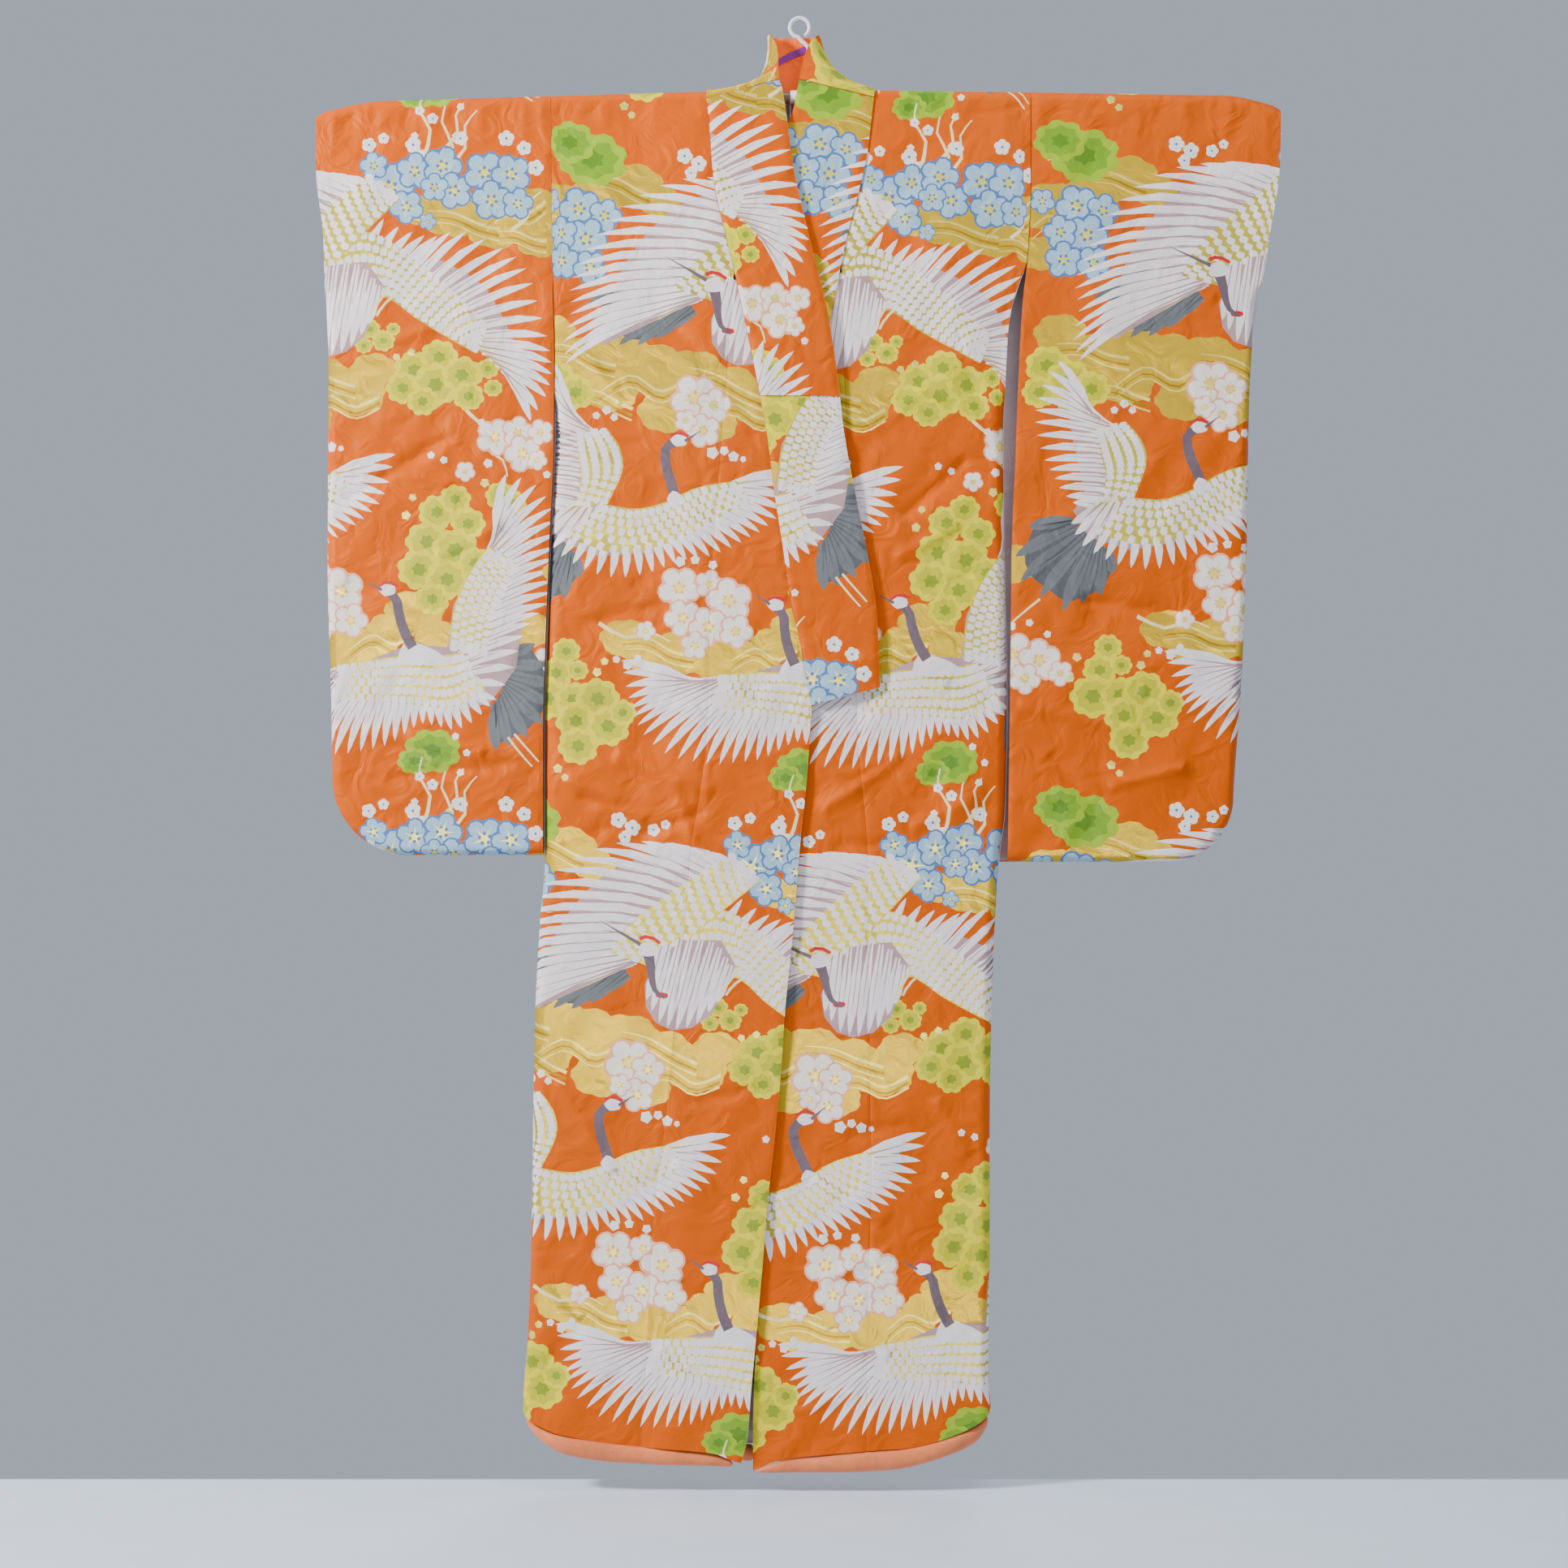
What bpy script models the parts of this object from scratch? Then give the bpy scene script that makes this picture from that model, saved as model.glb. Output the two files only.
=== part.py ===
"""Wedding kimono, an unbelted over-robe of orange brocade, hung open on a kimono hanger.

Units are metres, +Z up, +X to the viewer's right, and the front faces -Y. The origin is the
inside top of the hanger's hook, where the whole thing hangs. Tables are in millimetres: a
drop is measured down from the origin, and x to the viewer's right.

Each cloth piece is a wall: an outer face worked out from the tables, and an inner face the
wall's thickness inside it. Where front and back are one folded or sewn edge, the wall rolls
round to the middle plane and stops just short of it, so that the two solids meet there.
"""

import math
from bisect import bisect_right

import bmesh
import bpy
from mathutils import Vector

MM = 0.001

# Walls and gaps, in millimetres
WALL = 2.5
COLLAR_WALL = 3.5
COLLAR_PROUD = 1.5
NECK_WALL = 3.0
NECK_ACROSS, NECK_ROUND = 5, 26

# Ribbon on the neck collar: rows of its table, share of its height, width and wall
RIBBON_FROM, RIBBON_TO = 5.6, 8.2
RIBBON_LOW, RIBBON_HIGH = 0.56, 0.84
RIBBON_WIDTH, RIBBON_WALL = 0.1, 0.8
OVER_COLLAR_WALL = 1.2
SEAM_GAP = 0.3
LAY_GAP = 0.3
HALF_GAP = SEAM_GAP / 2

# Depth of the hung robe, in millimetres
FOLD_RADIUS = 11.8
SIDE_ROLL = 14.0
LAP_STEP = 7.0
LAP_FROM_X, LAP_FULL_X = -235.0, -135.0
LAP_FROM_DROP, LAP_FULL_DROP = 80.0, 145.0
SIDE_BLEND = 80.0
NECK_CORNER_GAP = 0.5
MIDDLE_X = 200.0
# columns: below the shoulder, half depth
BODY_DEPTH = ((0, 11.8), (14, 11.8), (70, 13.2), (260, 17), (620, 19), (1100, 18), (1860, 18))
SLEEVE_DEPTH = ((0, 11.8), (14, 11.8), (70, 12.6), (260, 14.5), (620, 16), (1100, 15), (1860, 15))

# Hanger, in millimetres
ROD_RADIUS = 8.5
HUB_RADIUS = 9.5
HUB_X = 12.0
HUB_LENGTH = 50.0
HOOK_INSIDE_RADIUS = 10.5
HOOK_WIRE_RADIUS = 2.6
HOOK_FROM_ANGLE, HOOK_TO_ANGLE = -52, 262
HOOK_POINTS = 15
# Stem points below the arch, cranked aside behind the collar; columns: x, height
HOOK_CRANK = ((2, -28), (8, -33), (12, -40), (12, -60))
SHOULDER_DROP = 93.5
LEFT_ARM_END, LEFT_ARM_FALL = -542.0, 0.0291
RIGHT_ARM_END, RIGHT_ARM_FALL = 538.0, 0.0153
TIP_SAG = 16.0
LEFT_SAG_FROM, LEFT_SAG_LENGTH = 566.0, 86.0
RIGHT_SAG_FROM, RIGHT_SAG_LENGTH = 575.0, 74.0

# Openings along the side, as drops in millimetres
ARMHOLE_END = 343.0
SIDE_SEAM_START = 497.0
CUFF_END = 350.0
CLOSING_LENGTH = 45.0

# Outlines seen from the front; columns: drop, x
LEFT_SIDE = ((90, -335), (310, -333), (450, -329), (585, -330), (695, -335), (849, -341),
             (959, -344), (1135, -344), (1223, -351), (1377, -358), (1586, -361),
             (1707, -364), (1795, -368), (1861, -373), (1900, -373))
LEFT_GORE_SEAM = ((343, -88), (464, -97), (629, -110), (794, -121), (959, -125), (1135, -148),
                  (1245, -156), (1355, -168), (1509, -184), (1619, -198), (1773, -204),
                  (1861, -211), (1960, -215))
LEFT_FRONT_EDGE = ((926, 16.5), (1025, 10), (1113, 1), (1245, -10), (1333, -19), (1421, -25),
                   (1509, -33), (1597, -43), (1685, -50), (1773, -58), (1861, -66),
                   (1905, -69), (1950, -80))
RIGHT_SIDE = ((90, 311), (233, 311), (299, 308), (332, 305), (354, 297), (387, 286),
              (431, 280), (563, 275), (673, 276), (937, 280), (1069, 277), (1135, 269),
              (1289, 261), (1487, 257), (1640, 257), (1820, 255), (1883, 259))
RIGHT_GORE_SEAM = ((332, 56), (464, 60), (629, 67), (794, 73), (970, 78), (1135, 91),
                   (1443, 94), (1553, 96), (1729, 91), (1960, 89))
RIGHT_FRONT_EDGE = ((917, -36.3), (1179, -44), (1399, -52), (1619, -57), (1773, -59),
                    (1905, -63), (1960, -63))
CENTRE_BACK = ((90, -12), (959, -27), (1619, -49), (1960, -57))
LEFT_CUFF_EDGE = ((90, -652), (205, -651), (299, -641), (409, -638), (453, -636), (739, -637),
                  (937, -632), (1128, -630))
RIGHT_CUFF_EDGE = ((90, 649), (195, 647), (299, 632), (343, 625), (387, 616), (442, 611),
                   (519, 607), (739, 603), (904, 596), (1047, 586), (1137, 584))
RIGHT_SLEEVE_INNER_EDGE = ((90, 311), (233, 311), (299, 308), (332, 306), (387, 300),
                           (453, 296), (574, 291), (739, 285), (849, 284), (1137, 280))

# Drops of the grid rows that neighbouring pieces share, so that their seams match
LEFT_STATIONS = (129, 162, 222, 288, 343, 393, 475, 563, 640, 717, 783, 838, 893, 926, 1000,
                 1085, 1170, 1255, 1340, 1425, 1510, 1595, 1680, 1765, 1840)
RIGHT_STATIONS = (125, 154, 189, 233, 277, 321, 332, 409, 497, 585, 673, 761, 849, 917, 1000,
                  1085, 1170, 1255, 1340, 1425, 1510, 1595, 1680, 1765, 1840)
GORE_POINT = 12.0
ARMHOLE_GAP = 0.5
FREE_GAP, FREE_BLEND = 1.5, 30

# Lower edges of the cloth; columns: x, drop
LEFT_HEM = ((-373, 1883), (-352, 1896), (-324, 1907), (-225, 1922), (-115, 1931), (-88, 1941),
            (-60, 1949))
RIGHT_HEM = ((-64, 1956), (-55, 1952), (-27, 1941), (82, 1930), (148, 1925), (192, 1914),
             (236, 1896), (260, 1878))
BACK_HEM = ((-373, 1883), (-352, 1896), (-324, 1907), (-225, 1920), (-57, 1926), (82, 1925),
            (148, 1921), (192, 1912), (236, 1896), (260, 1878))
LEFT_SLEEVE_BOTTOM = 1128.0
RIGHT_SLEEVE_BOTTOM = 1137.0
LEFT_SLEEVE_CORNER = 105.0
RIGHT_SLEEVE_CORNER = 88.0
NECK_EDGE_DROP = 112.6
NECK_HEM = 2.4
NECK_STEP = 3.0
NECK_TAPER = 9.0
NECK_TURN = 60.0

# Collar stretches; columns: seam x, seam drop, free edge x, free edge drop
LEFT_COLLAR = ((-125.4, 110, -27.5, 84), (-123, 129, -22, 103), (-120, 162, -16.5, 141),
               (-115, 222, -7, 211), (-101, 288, 11, 288), (-88, 343, 25, 346),
               (-77, 393, 37, 396), (-60, 475, 50, 477), (-44, 563, 60, 563),
               (-34, 640, 74, 638), (-22, 717, 89, 713), (-13, 783, 100, 774),
               (0, 838, 105, 827), (9, 893, 107, 873), (16.5, 926, 108, 902))
RIGHT_COLLAR = ((100, 108, -1, 84), (98, 125, -8, 121), (94.6, 154, -18, 150),
                (90, 189, -27, 189), (80, 233, -38, 233), (68, 277, -48, 279),
                (58, 321, -56, 323), (41, 409, -69, 409), (22, 497, -85, 497),
                (5, 585, -99, 585), (-9, 673, -110, 671), (-21, 761, -120, 755),
                (-31, 849, -128, 834), (-36.3, 917, -133, 895))
OVER_COLLAR_ROWS = 7.4
NECK_END = 0.07

# Neck collar from the left front over the back to the right front;
# columns: seam x, drop, y, bend x, drop, y, free edge x, drop, y
NECK_COLLAR = (
    (-125.4, 110, -13.3, -76, 97, -13.3, -27.5, 84, -13.3),
    (-125.4, 99.5, -9.4, -56, 94, -12, -28.5, 62, -11),
    (-125.4, 95.6, 0, -38, 103, -6, -30, 38, -9),
    (-125, 99.5, 9.4, -34, 104, 4, -38, 22, -4),
    (-122, 112, 13.3, -36, 104, 11, -41.5, 22, 1.5),
    (-90, 112, 13.3, -40, 92, 13, -37, 22, 7),
    (-45, 112, 13.3, -30, 72, 13.3, -24, 22, 10),
    (-10, 112, 13.3, -8, 68, 13.3, -6, 22, 11),
    (30, 112, 13.3, 14, 72, 13.3, 12, 22, 10),
    (65, 112, 13.3, 34, 86, 13, 22, 22, 7),
    (97, 110, 13.3, 42, 88, 11, 26, 22, 1.5),
    (100.5, 97.4, 9.4, 44, 86, 3, 23, 23, -4),
    (101, 93.4, 0, 46, 86, -6, 16, 30, -9),
    (100.8, 97.4, -9.4, 50, 90, -12, 7, 50, -11),
    (100, 108, -13.3, 50, 96, -13.3, -1, 84, -13.3))

# Padded hem rolls; columns: x, top drop, bottom drop, half thickness
LEFT_ROLL = ((-368, 1887, 1895, 3), (-352, 1898, 1914, 6), (-324, 1909, 1931, 8),
             (-280, 1916, 1941, 8.5), (-203, 1925, 1947, 8.5), (-125, 1932, 1949, 8),
             (-90, 1943, 1950, 3))
RIGHT_ROLL = ((-58, 1955, 1958, 2), (-27, 1944, 1958, 6), (27, 1938, 1958, 8.5),
              (82, 1932, 1957, 8.5), (137, 1928, 1953, 8.5), (192, 1916, 1938, 8),
              (236, 1899, 1920, 6), (254, 1885, 1897, 3))
LEFT_BACK_ROLL = ((-368, 1887, 1895, 3), (-352, 1898, 1914, 6), (-324, 1909, 1931, 8),
                  (-280, 1916, 1940, 8.5), (-203, 1923, 1946, 8.5), (-125, 1926, 1949, 8.5),
                  (-59, 1928, 1950, 8.5))
RIGHT_BACK_ROLL = ((-56, 1928, 1950, 8.5), (27, 1927, 1951, 8.5), (82, 1927, 1951, 8.5),
                   (137, 1924, 1948, 8.5), (192, 1914, 1936, 8), (236, 1899, 1919, 6),
                   (254, 1885, 1897, 3))
ROLL_SIDES = 8
ROLL_CLEARANCE = 0.2
ROLL_END_FROM, ROLL_END_TO = 4, 60

# Largest folds, front and back; columns: from x, drop, to x, drop, half width, height
FRONT_FOLDS = (
    (137, 673, 226, 596, 26, -4.0), (120, 700, 235, 640, 30, 3.5),
    (16, 1000, 150, 1120, 30, 4.0), (60, 980, 190, 1040, 28, -3.0),
    (-330, 1010, -95, 1130, 34, 4.0), (-300, 930, -150, 1000, 30, -3.5),
    (-370, 1670, -290, 1760, 30, -4.0), (-320, 1432, -200, 1560, 34, 4.5),
    (-340, 560, -200, 640, 34, 3.5), (-250, 250, -220, 520, 36, 3.0),
    (180, 220, 230, 480, 36, 3.5), (60, 1300, 200, 1420, 34, 3.5),
    (140, 1480, 240, 1700, 34, -3.5), (-280, 1250, -120, 1330, 30, -3.0),
    (380, 783, 511, 805, 26, -4.0), (412, 1036, 522, 1009, 26, 4.0),
    (330, 900, 540, 860, 30, 3.5), (340, 620, 560, 560, 34, 3.0),
    (520, 180, 600, 330, 34, -3.0), (380, 240, 430, 480, 36, 3.0),
    (-600, 200, -560, 420, 34, 3.0), (-600, 640, -400, 700, 34, 3.5),
    (-560, 900, -380, 960, 30, -3.5), (-440, 260, -380, 480, 34, -3.0))
BACK_FOLDS = (
    (-300, 300, -240, 620, 36, 3.5), (-160, 240, -190, 700, 36, -3.0),
    (60, 260, 120, 640, 36, 3.5), (200, 420, 230, 820, 36, 3.0),
    (-320, 900, -120, 1040, 34, 4.0), (20, 880, 200, 980, 34, -3.5),
    (-340, 1300, -150, 1440, 34, 4.0), (40, 1240, 230, 1360, 34, 3.5),
    (-120, 1500, -60, 1780, 36, -3.5), (80, 1500, 220, 1700, 34, 4.0),
    (-600, 300, -540, 560, 34, 3.0), (-560, 800, -380, 880, 32, -3.5),
    (380, 300, 420, 620, 34, 3.0), (400, 860, 560, 800, 32, 3.5))

# How far a fold fades beyond and within its ends, in half widths
FADE_BEYOND, FADE_WITHIN = 0.4, 0.6

# Quarter turn of a folded edge; columns: share of the turn, share of the depth
ROLL_STEPS = ((1.0, 0.0), (0.866, 0.5), (0.5, 0.866))

# Colours and finish; columns: red, green, blue, roughness, metallic
FINISHES = {
    "brocade": (0.90, 0.16, 0.01, 0.45, 0.0),
    "hem_padding": (0.85, 0.27, 0.13, 0.6, 0.0),
    "ribbon": (0.45, 0.12, 0.45, 0.5, 0.0),
    "rod": (0.75, 0.72, 0.66, 0.5, 0.0),
    "white_plastic": (0.85, 0.87, 0.88, 0.35, 0.0),
}


def clear_scene():
    """Take every object out of the scene."""
    for thing in list(bpy.data.objects):
        bpy.data.objects.remove(thing, do_unlink=True)


def finish_named(name):
    """The Principled material of a finish."""
    made = bpy.data.materials.get(name)
    if made:
        return made
    red, green, blue, roughness, metallic = FINISHES[name]
    made = bpy.data.materials.new(name)
    made.use_nodes = True
    shader = made.node_tree.nodes["Principled BSDF"]
    shader.inputs["Base Color"].default_value = (red, green, blue, 1.0)
    shader.inputs["Roughness"].default_value = roughness
    shader.inputs["Metallic"].default_value = metallic
    return made


def add_object(name, data, finish):
    """Put a mesh or curve in the robe's collection under its own name."""
    made = bpy.data.objects.new(name, data)
    data.materials.append(finish_named(finish))
    COLLECTION.objects.link(made)
    return made


def read(rows, key, column=1):
    """A column's value on a curve through the rows that never overshoots them."""
    keys = [row[0] for row in rows]
    key = min(max(key, keys[0]), keys[-1])
    start = min(max(bisect_right(keys, key) - 1, 0), len(keys) - 2)
    spans = [keys[i + 1] - keys[i] for i in range(len(keys) - 1)]
    slopes = [(rows[i + 1][column] - rows[i][column]) / spans[i] for i in range(len(spans))]

    def tangent(i):
        if i == 0 or i == len(slopes):
            return slopes[min(i, len(slopes) - 1)]
        before, after = slopes[i - 1], slopes[i]
        return 0.0 if before * after <= 0 else 2 * before * after / (before + after)

    t = (key - keys[start]) / spans[start]
    low, high = rows[start][column], rows[start + 1][column]
    bend_low, bend_high = tangent(start) * spans[start], tangent(start + 1) * spans[start]
    return (low * (1 + 2 * t) * (1 - t) ** 2 + bend_low * t * (1 - t) ** 2
            + high * t * t * (3 - 2 * t) + bend_high * t * t * (t - 1))


def row_at(rows, place):
    """The whole row at a fractional row number, on a smooth curve through the rows."""
    last = len(rows) - 1
    place = min(max(place, 0.0), last)
    start = min(int(place), last - 1)
    t = place - start
    four = [rows[min(max(start + k, 0), last)] for k in (-1, 0, 1, 2)]
    return [0.5 * (2 * b + (c - a) * t + (2 * a - 5 * b + 4 * c - d) * t * t
                   + (3 * b - a - 3 * c + d) * t ** 3) for a, b, c, d in zip(*four)]


def ease(value, low, high):
    """0 below low, 1 above high, smooth between."""
    t = min(max((value - low) / (high - low), 0.0), 1.0)
    return t * t * (3 - 2 * t)


def mix(low, high, t):
    """A value between two, t 0 to 1."""
    return low + (high - low) * t


def shoulder(x):
    """Drop of the shoulder line: the rod's fall, and the sag past its ends."""
    if x < 0:
        fall, start, length = LEFT_ARM_FALL, LEFT_SAG_FROM, LEFT_SAG_LENGTH
    else:
        fall, start, length = RIGHT_ARM_FALL, RIGHT_SAG_FROM, RIGHT_SAG_LENGTH
    past = max(abs(x) - start, 0.0) / length
    return SHOULDER_DROP + fall * abs(x) + TIP_SAG * past ** 1.5


def fold_height(folds, x, drop):
    """Sum of the folds at a place: each a soft ridge or trough that fades at its ends."""
    total = 0.0
    for x0, drop0, x1, drop1, width, height in folds:
        run_x, run_drop = x1 - x0, drop1 - drop0
        length = math.hypot(run_x, run_drop)
        along = ((x - x0) * run_x + (drop - drop0) * run_drop) / length
        across = ((x - x0) * run_drop - (drop - drop0) * run_x) / length
        low, high = -FADE_BEYOND * width, FADE_WITHIN * width
        fade = ease(along, low, high) * ease(length - along, low, high)
        total += height * fade * math.exp(-(across / width) ** 2)
    return total


def half_depth(x, drop, side):
    """Distance of the cloth's outer face from the middle plane; side -1 front, 1 back."""
    below = drop - shoulder(x)
    edge_distance = min(x - read(LEFT_SIDE, drop), read(RIGHT_SIDE, drop) - x)
    inward = ease(edge_distance, 0.0, SIDE_BLEND)
    depth = mix(read(SLEEVE_DEPTH, below), read(BODY_DEPTH, below), inward)
    folds = FRONT_FOLDS if side < 0 else BACK_FOLDS
    return depth + fold_height(folds, x, drop) * ease(below, 15, 60)


def lap(x, drop):
    """How far the left front lies in front of the right one."""
    return (LAP_STEP * ease(x, LAP_FROM_X, LAP_FULL_X)
            * ease(drop, LAP_FROM_DROP, LAP_FULL_DROP))


def steps(count, rolled_low, rolled_high):
    """Grid stations as (fraction between the rolled edges, turn, lift)."""
    stations = [(0.0, -turn, lift) for turn, lift in ROLL_STEPS] if rolled_low else []
    stations += [(i / count, 0.0, 1.0) for i in range(count + 1)]
    if rolled_high:
        stations += [(1.0, turn, lift) for turn, lift in reversed(ROLL_STEPS)]
    return stations


def finished_mesh(name, mesh):
    """Mesh data of a closed bmesh, with its faces turned outwards."""
    bmesh.ops.recalc_face_normals(mesh, faces=mesh.faces[:])
    if mesh.calc_volume(signed=True) < 0:
        bmesh.ops.reverse_faces(mesh, faces=mesh.faces[:])
    data = bpy.data.meshes.new(name)
    mesh.to_mesh(data)
    mesh.free()
    return data


def wall_mesh(name, columns, rows, place):
    """A closed wall: a grid whose points go to the outer face and whose copies go inside."""
    mesh = bmesh.new()
    across, down = len(columns) - 1, len(rows) - 1
    bmesh.ops.create_grid(mesh, x_segments=across, y_segments=down, size=0.5)
    outer = list(mesh.verts)
    copied = bmesh.ops.extrude_face_region(mesh, geom=mesh.faces[:])["geom"]
    inner = [part for part in copied if isinstance(part, bmesh.types.BMVert)]
    for layer, points in ((0, outer), (1, inner)):
        for point in points:
            column = columns[round((point.co.x + 0.5) * across)]
            row = rows[round((point.co.y + 0.5) * down)]
            x, y, drop = place(column, row, layer)
            point.co = Vector((x * MM, y * MM, -drop * MM))
    return finished_mesh(name, mesh)


def round_corner(x, drop, outward, corner_x, corner_drop, radius):
    """Bend the square corner of a sleeve's grid round a quarter circle, ring by ring."""
    a = (x - corner_x) * outward / radius
    b = (drop - corner_drop) / radius
    if a <= 0 or b <= 0:
        return x, drop
    ring = max(a, b)
    angle = math.pi / 4 * (b / a if a >= b else 2 - a / b)
    return (corner_x + outward * radius * ring * math.cos(angle),
            corner_drop + radius * ring * math.sin(angle))


def sleeve_panel(name, side, outward, inner_edge, cuff_edge, bottom, radius, stations):
    """Front or back of a sleeve, closed along its bottom and below the cuff."""
    columns = steps(7, False, True)
    rows = [(None, -turn, lift) for turn, lift in ROLL_STEPS] + [(None, 0.0, 1.0)]
    rows += [(station, 0.0, 1.0) for station in stations if station < bottom - radius]
    rows += [(mix(bottom - radius, bottom - FOLD_RADIUS, part), 0.0, 1.0)
             for part in (0.0, 0.33, 0.67, 1.0)]
    rows += [(bottom - FOLD_RADIUS, turn, lift) for turn, lift in reversed(ROLL_STEPS)]
    edge_x = read(cuff_edge, bottom)
    corner = (edge_x - outward * radius, bottom - radius, radius)

    def place(column, row, layer):
        wall = WALL * layer
        along, turn, lift = column
        station, row_turn, row_lift = row
        x = edge_x
        for _ in range(3):
            start = shoulder(x) + FOLD_RADIUS if station is None else station
            drop = start + row_turn * (FOLD_RADIUS - wall)
            outside = read(cuff_edge, drop) - outward * FOLD_RADIUS
            x = mix(inner_edge(drop), outside, along) + outward * turn * (FOLD_RADIUS - wall)
        closed = ease(drop, CUFF_END, CUFF_END + CLOSING_LENGTH)
        lifted = min(1 - closed * (1 - lift), row_lift)
        x, drop = round_corner(x, drop, outward, *corner)
        depth = half_depth(x, drop, side) - wall
        return x, side * (HALF_GAP + lifted * depth), drop

    add_object(name, wall_mesh(name, columns, rows, place), "brocade")


def chained(rows, stations, drop):
    """An outline read with straight runs between the stations, as the grids follow it."""
    stations = (rows[0][0],) + tuple(stations) + (rows[-1][0],)
    start = min(max(bisect_right(stations, drop) - 1, 0), len(stations) - 2)
    low, high = stations[start], stations[start + 1]
    t = min(max((drop - low) / (high - low), 0.0), 1.0)
    return mix(read(rows, low), read(rows, high), t)


def left_inner_edge(drop):
    gap = mix(ARMHOLE_GAP, FREE_GAP, ease(drop, ARMHOLE_END, ARMHOLE_END + FREE_BLEND))
    return chained(LEFT_SIDE, LEFT_STATIONS, drop) - gap


def right_front_inner_edge(drop):
    return max(read(RIGHT_SLEEVE_INNER_EDGE, drop), right_back_inner_edge(drop))


def right_back_inner_edge(drop):
    gap = mix(ARMHOLE_GAP, FREE_GAP, ease(drop, ARMHOLE_END, ARMHOLE_END + FREE_BLEND))
    return chained(RIGHT_SIDE, RIGHT_STATIONS, drop) + gap


def collar_seam(collar):
    """The line where body and gore are sewn to a collar stretch, as drop, x rows."""
    return tuple((row[1], row[0]) for row in collar)


def body_panel(name, side, outward, side_edge, middle_edge, hem, stations, extra,
               neck_edge=False):
    """Front or back of a body length, closed to its other half below the side opening."""
    columns = steps(7, False, True)
    rows = [(None, -turn, lift) for turn, lift in ROLL_STEPS] + [(None, 0.0, 1.0)]
    rows += [(station, 0.0, 1.0) for station in stations] + [(math.inf, 0.0, 1.0)]
    neck_end, corner, width = -1.0, -1.0, 1.0
    if neck_edge:
        middle = middle_edge(NECK_EDGE_DROP)
        width = read(side_edge, NECK_EDGE_DROP) - outward * SIDE_ROLL - middle
        corner = (neck_corner(outward) - middle) / width
        neck_end = corner - NECK_STEP / abs(width)
        columns = [(neck_end * part, 0.0, 1.0) for part in (0.0, 0.5, 1.0)]
        columns += [(corner + NECK_TAPER / abs(width) * part, 0.0, 1.0)
                    for part in (0.0, 0.33, 0.67)]
        columns += [(mix(corner + NECK_TAPER / abs(width), 1.0, along), turn, lift)
                    for along, turn, lift in steps(5, False, True)]

    def place(column, row, layer):
        wall = WALL * layer
        along, turn, lift = column
        station, row_turn, row_lift = row
        in_neck = along <= neck_end
        if neck_edge and row_lift < 1 and not in_neck:
            away = min((along - corner) * abs(width) / NECK_TAPER, 1.0)
            start = math.radians(NECK_TURN) * (1 - away)
            angle = mix(start, math.pi / 2, math.asin(row_lift) / (math.pi / 2))
            row_turn, row_lift = -math.cos(angle), math.sin(angle)
        x = outward * MIDDLE_X
        for _ in range(4):
            if station is not None:
                drop = min(station, read(hem, x))
            elif in_neck:
                drop = NECK_EDGE_DROP + NECK_HEM * row_lift
            else:
                drop = shoulder(x) + FOLD_RADIUS + row_turn * (FOLD_RADIUS - wall)
            outside = read(side_edge, drop) - outward * SIDE_ROLL
            x = mix(middle_edge(drop), outside, along) + outward * turn * (SIDE_ROLL - wall)
        closed = ease(drop, SIDE_SEAM_START, SIDE_SEAM_START + CLOSING_LENGTH)
        lifted = min(1 - closed * (1 - lift), 1.0 if in_neck else row_lift)
        depth = half_depth(x, drop, side) + extra(x, drop) - wall
        return x, side * (HALF_GAP + lifted * depth), drop

    add_object(name, wall_mesh(name, columns, rows, place), "brocade")


def neck_corner(outward):
    """Where the back's shoulder line ends and its neck edge begins."""
    collar = LEFT_COLLAR if outward < 0 else RIGHT_COLLAR
    return collar[0][0] + outward * NECK_CORNER_GAP


def no_lap(x, drop):
    """The right front and the backs lie straight on the middle plane."""
    return 0.0


def middle_of_front(collar, gore_seam, stations, inward):
    """Inner edge of a front: the collar seam above the gore, the gore seam below."""
    seam = collar_seam(collar)
    start = gore_seam[0][0]

    def edge(drop):
        if drop < start:
            return chained(seam, stations, drop) - inward * SEAM_GAP
        return chained(gore_seam, stations, drop) - inward * HALF_GAP

    return edge


def gore_panel(name, inward, collar, gore_seam, front_edge, hem, stations, extra):
    """A front gore, from its point under the collar down to the hem."""
    columns = steps(4, False, False)
    point = gore_seam[0][0] + GORE_POINT
    rows = [point] + [station for station in stations if station > point] + [math.inf]
    seam = collar_seam(collar)
    end = front_edge[0][0]

    def place(column, row, layer):
        x = gore_seam[0][1]
        for _ in range(4):
            drop = min(row, read(hem, x))
            outer = chained(gore_seam, stations, drop) + inward * HALF_GAP
            if drop < end:
                edge = chained(seam, stations, drop) - inward * SEAM_GAP
            else:
                edge = read(front_edge, drop) - inward * SEAM_GAP
            x = mix(outer, edge, column[0])
        depth = half_depth(x, drop, -1) + extra(x, drop) - WALL * layer
        return x, -(HALF_GAP + depth), drop

    add_object(name, wall_mesh(name, columns, rows, place), "brocade")


def collar_panel(name, collar, extra, first, last, count, lowest, thickness):
    """A stretch of collar over the given rows of its table, raised above the fronts."""
    columns = steps(3, False, False)
    rows = [first + number for number in range(count)] + [last]

    def place(column, row, layer):
        seam_x, seam_drop, free_x, free_drop = row_at(collar, row)
        x = mix(seam_x, free_x, column[0])
        drop = mix(seam_drop, free_drop, column[0])
        face = lowest + thickness * (1 - layer)
        return x, -(HALF_GAP + half_depth(x, drop, -1) + extra(x, drop) + face), drop

    add_object(name, wall_mesh(name, columns, rows, place), "brocade")


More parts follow.
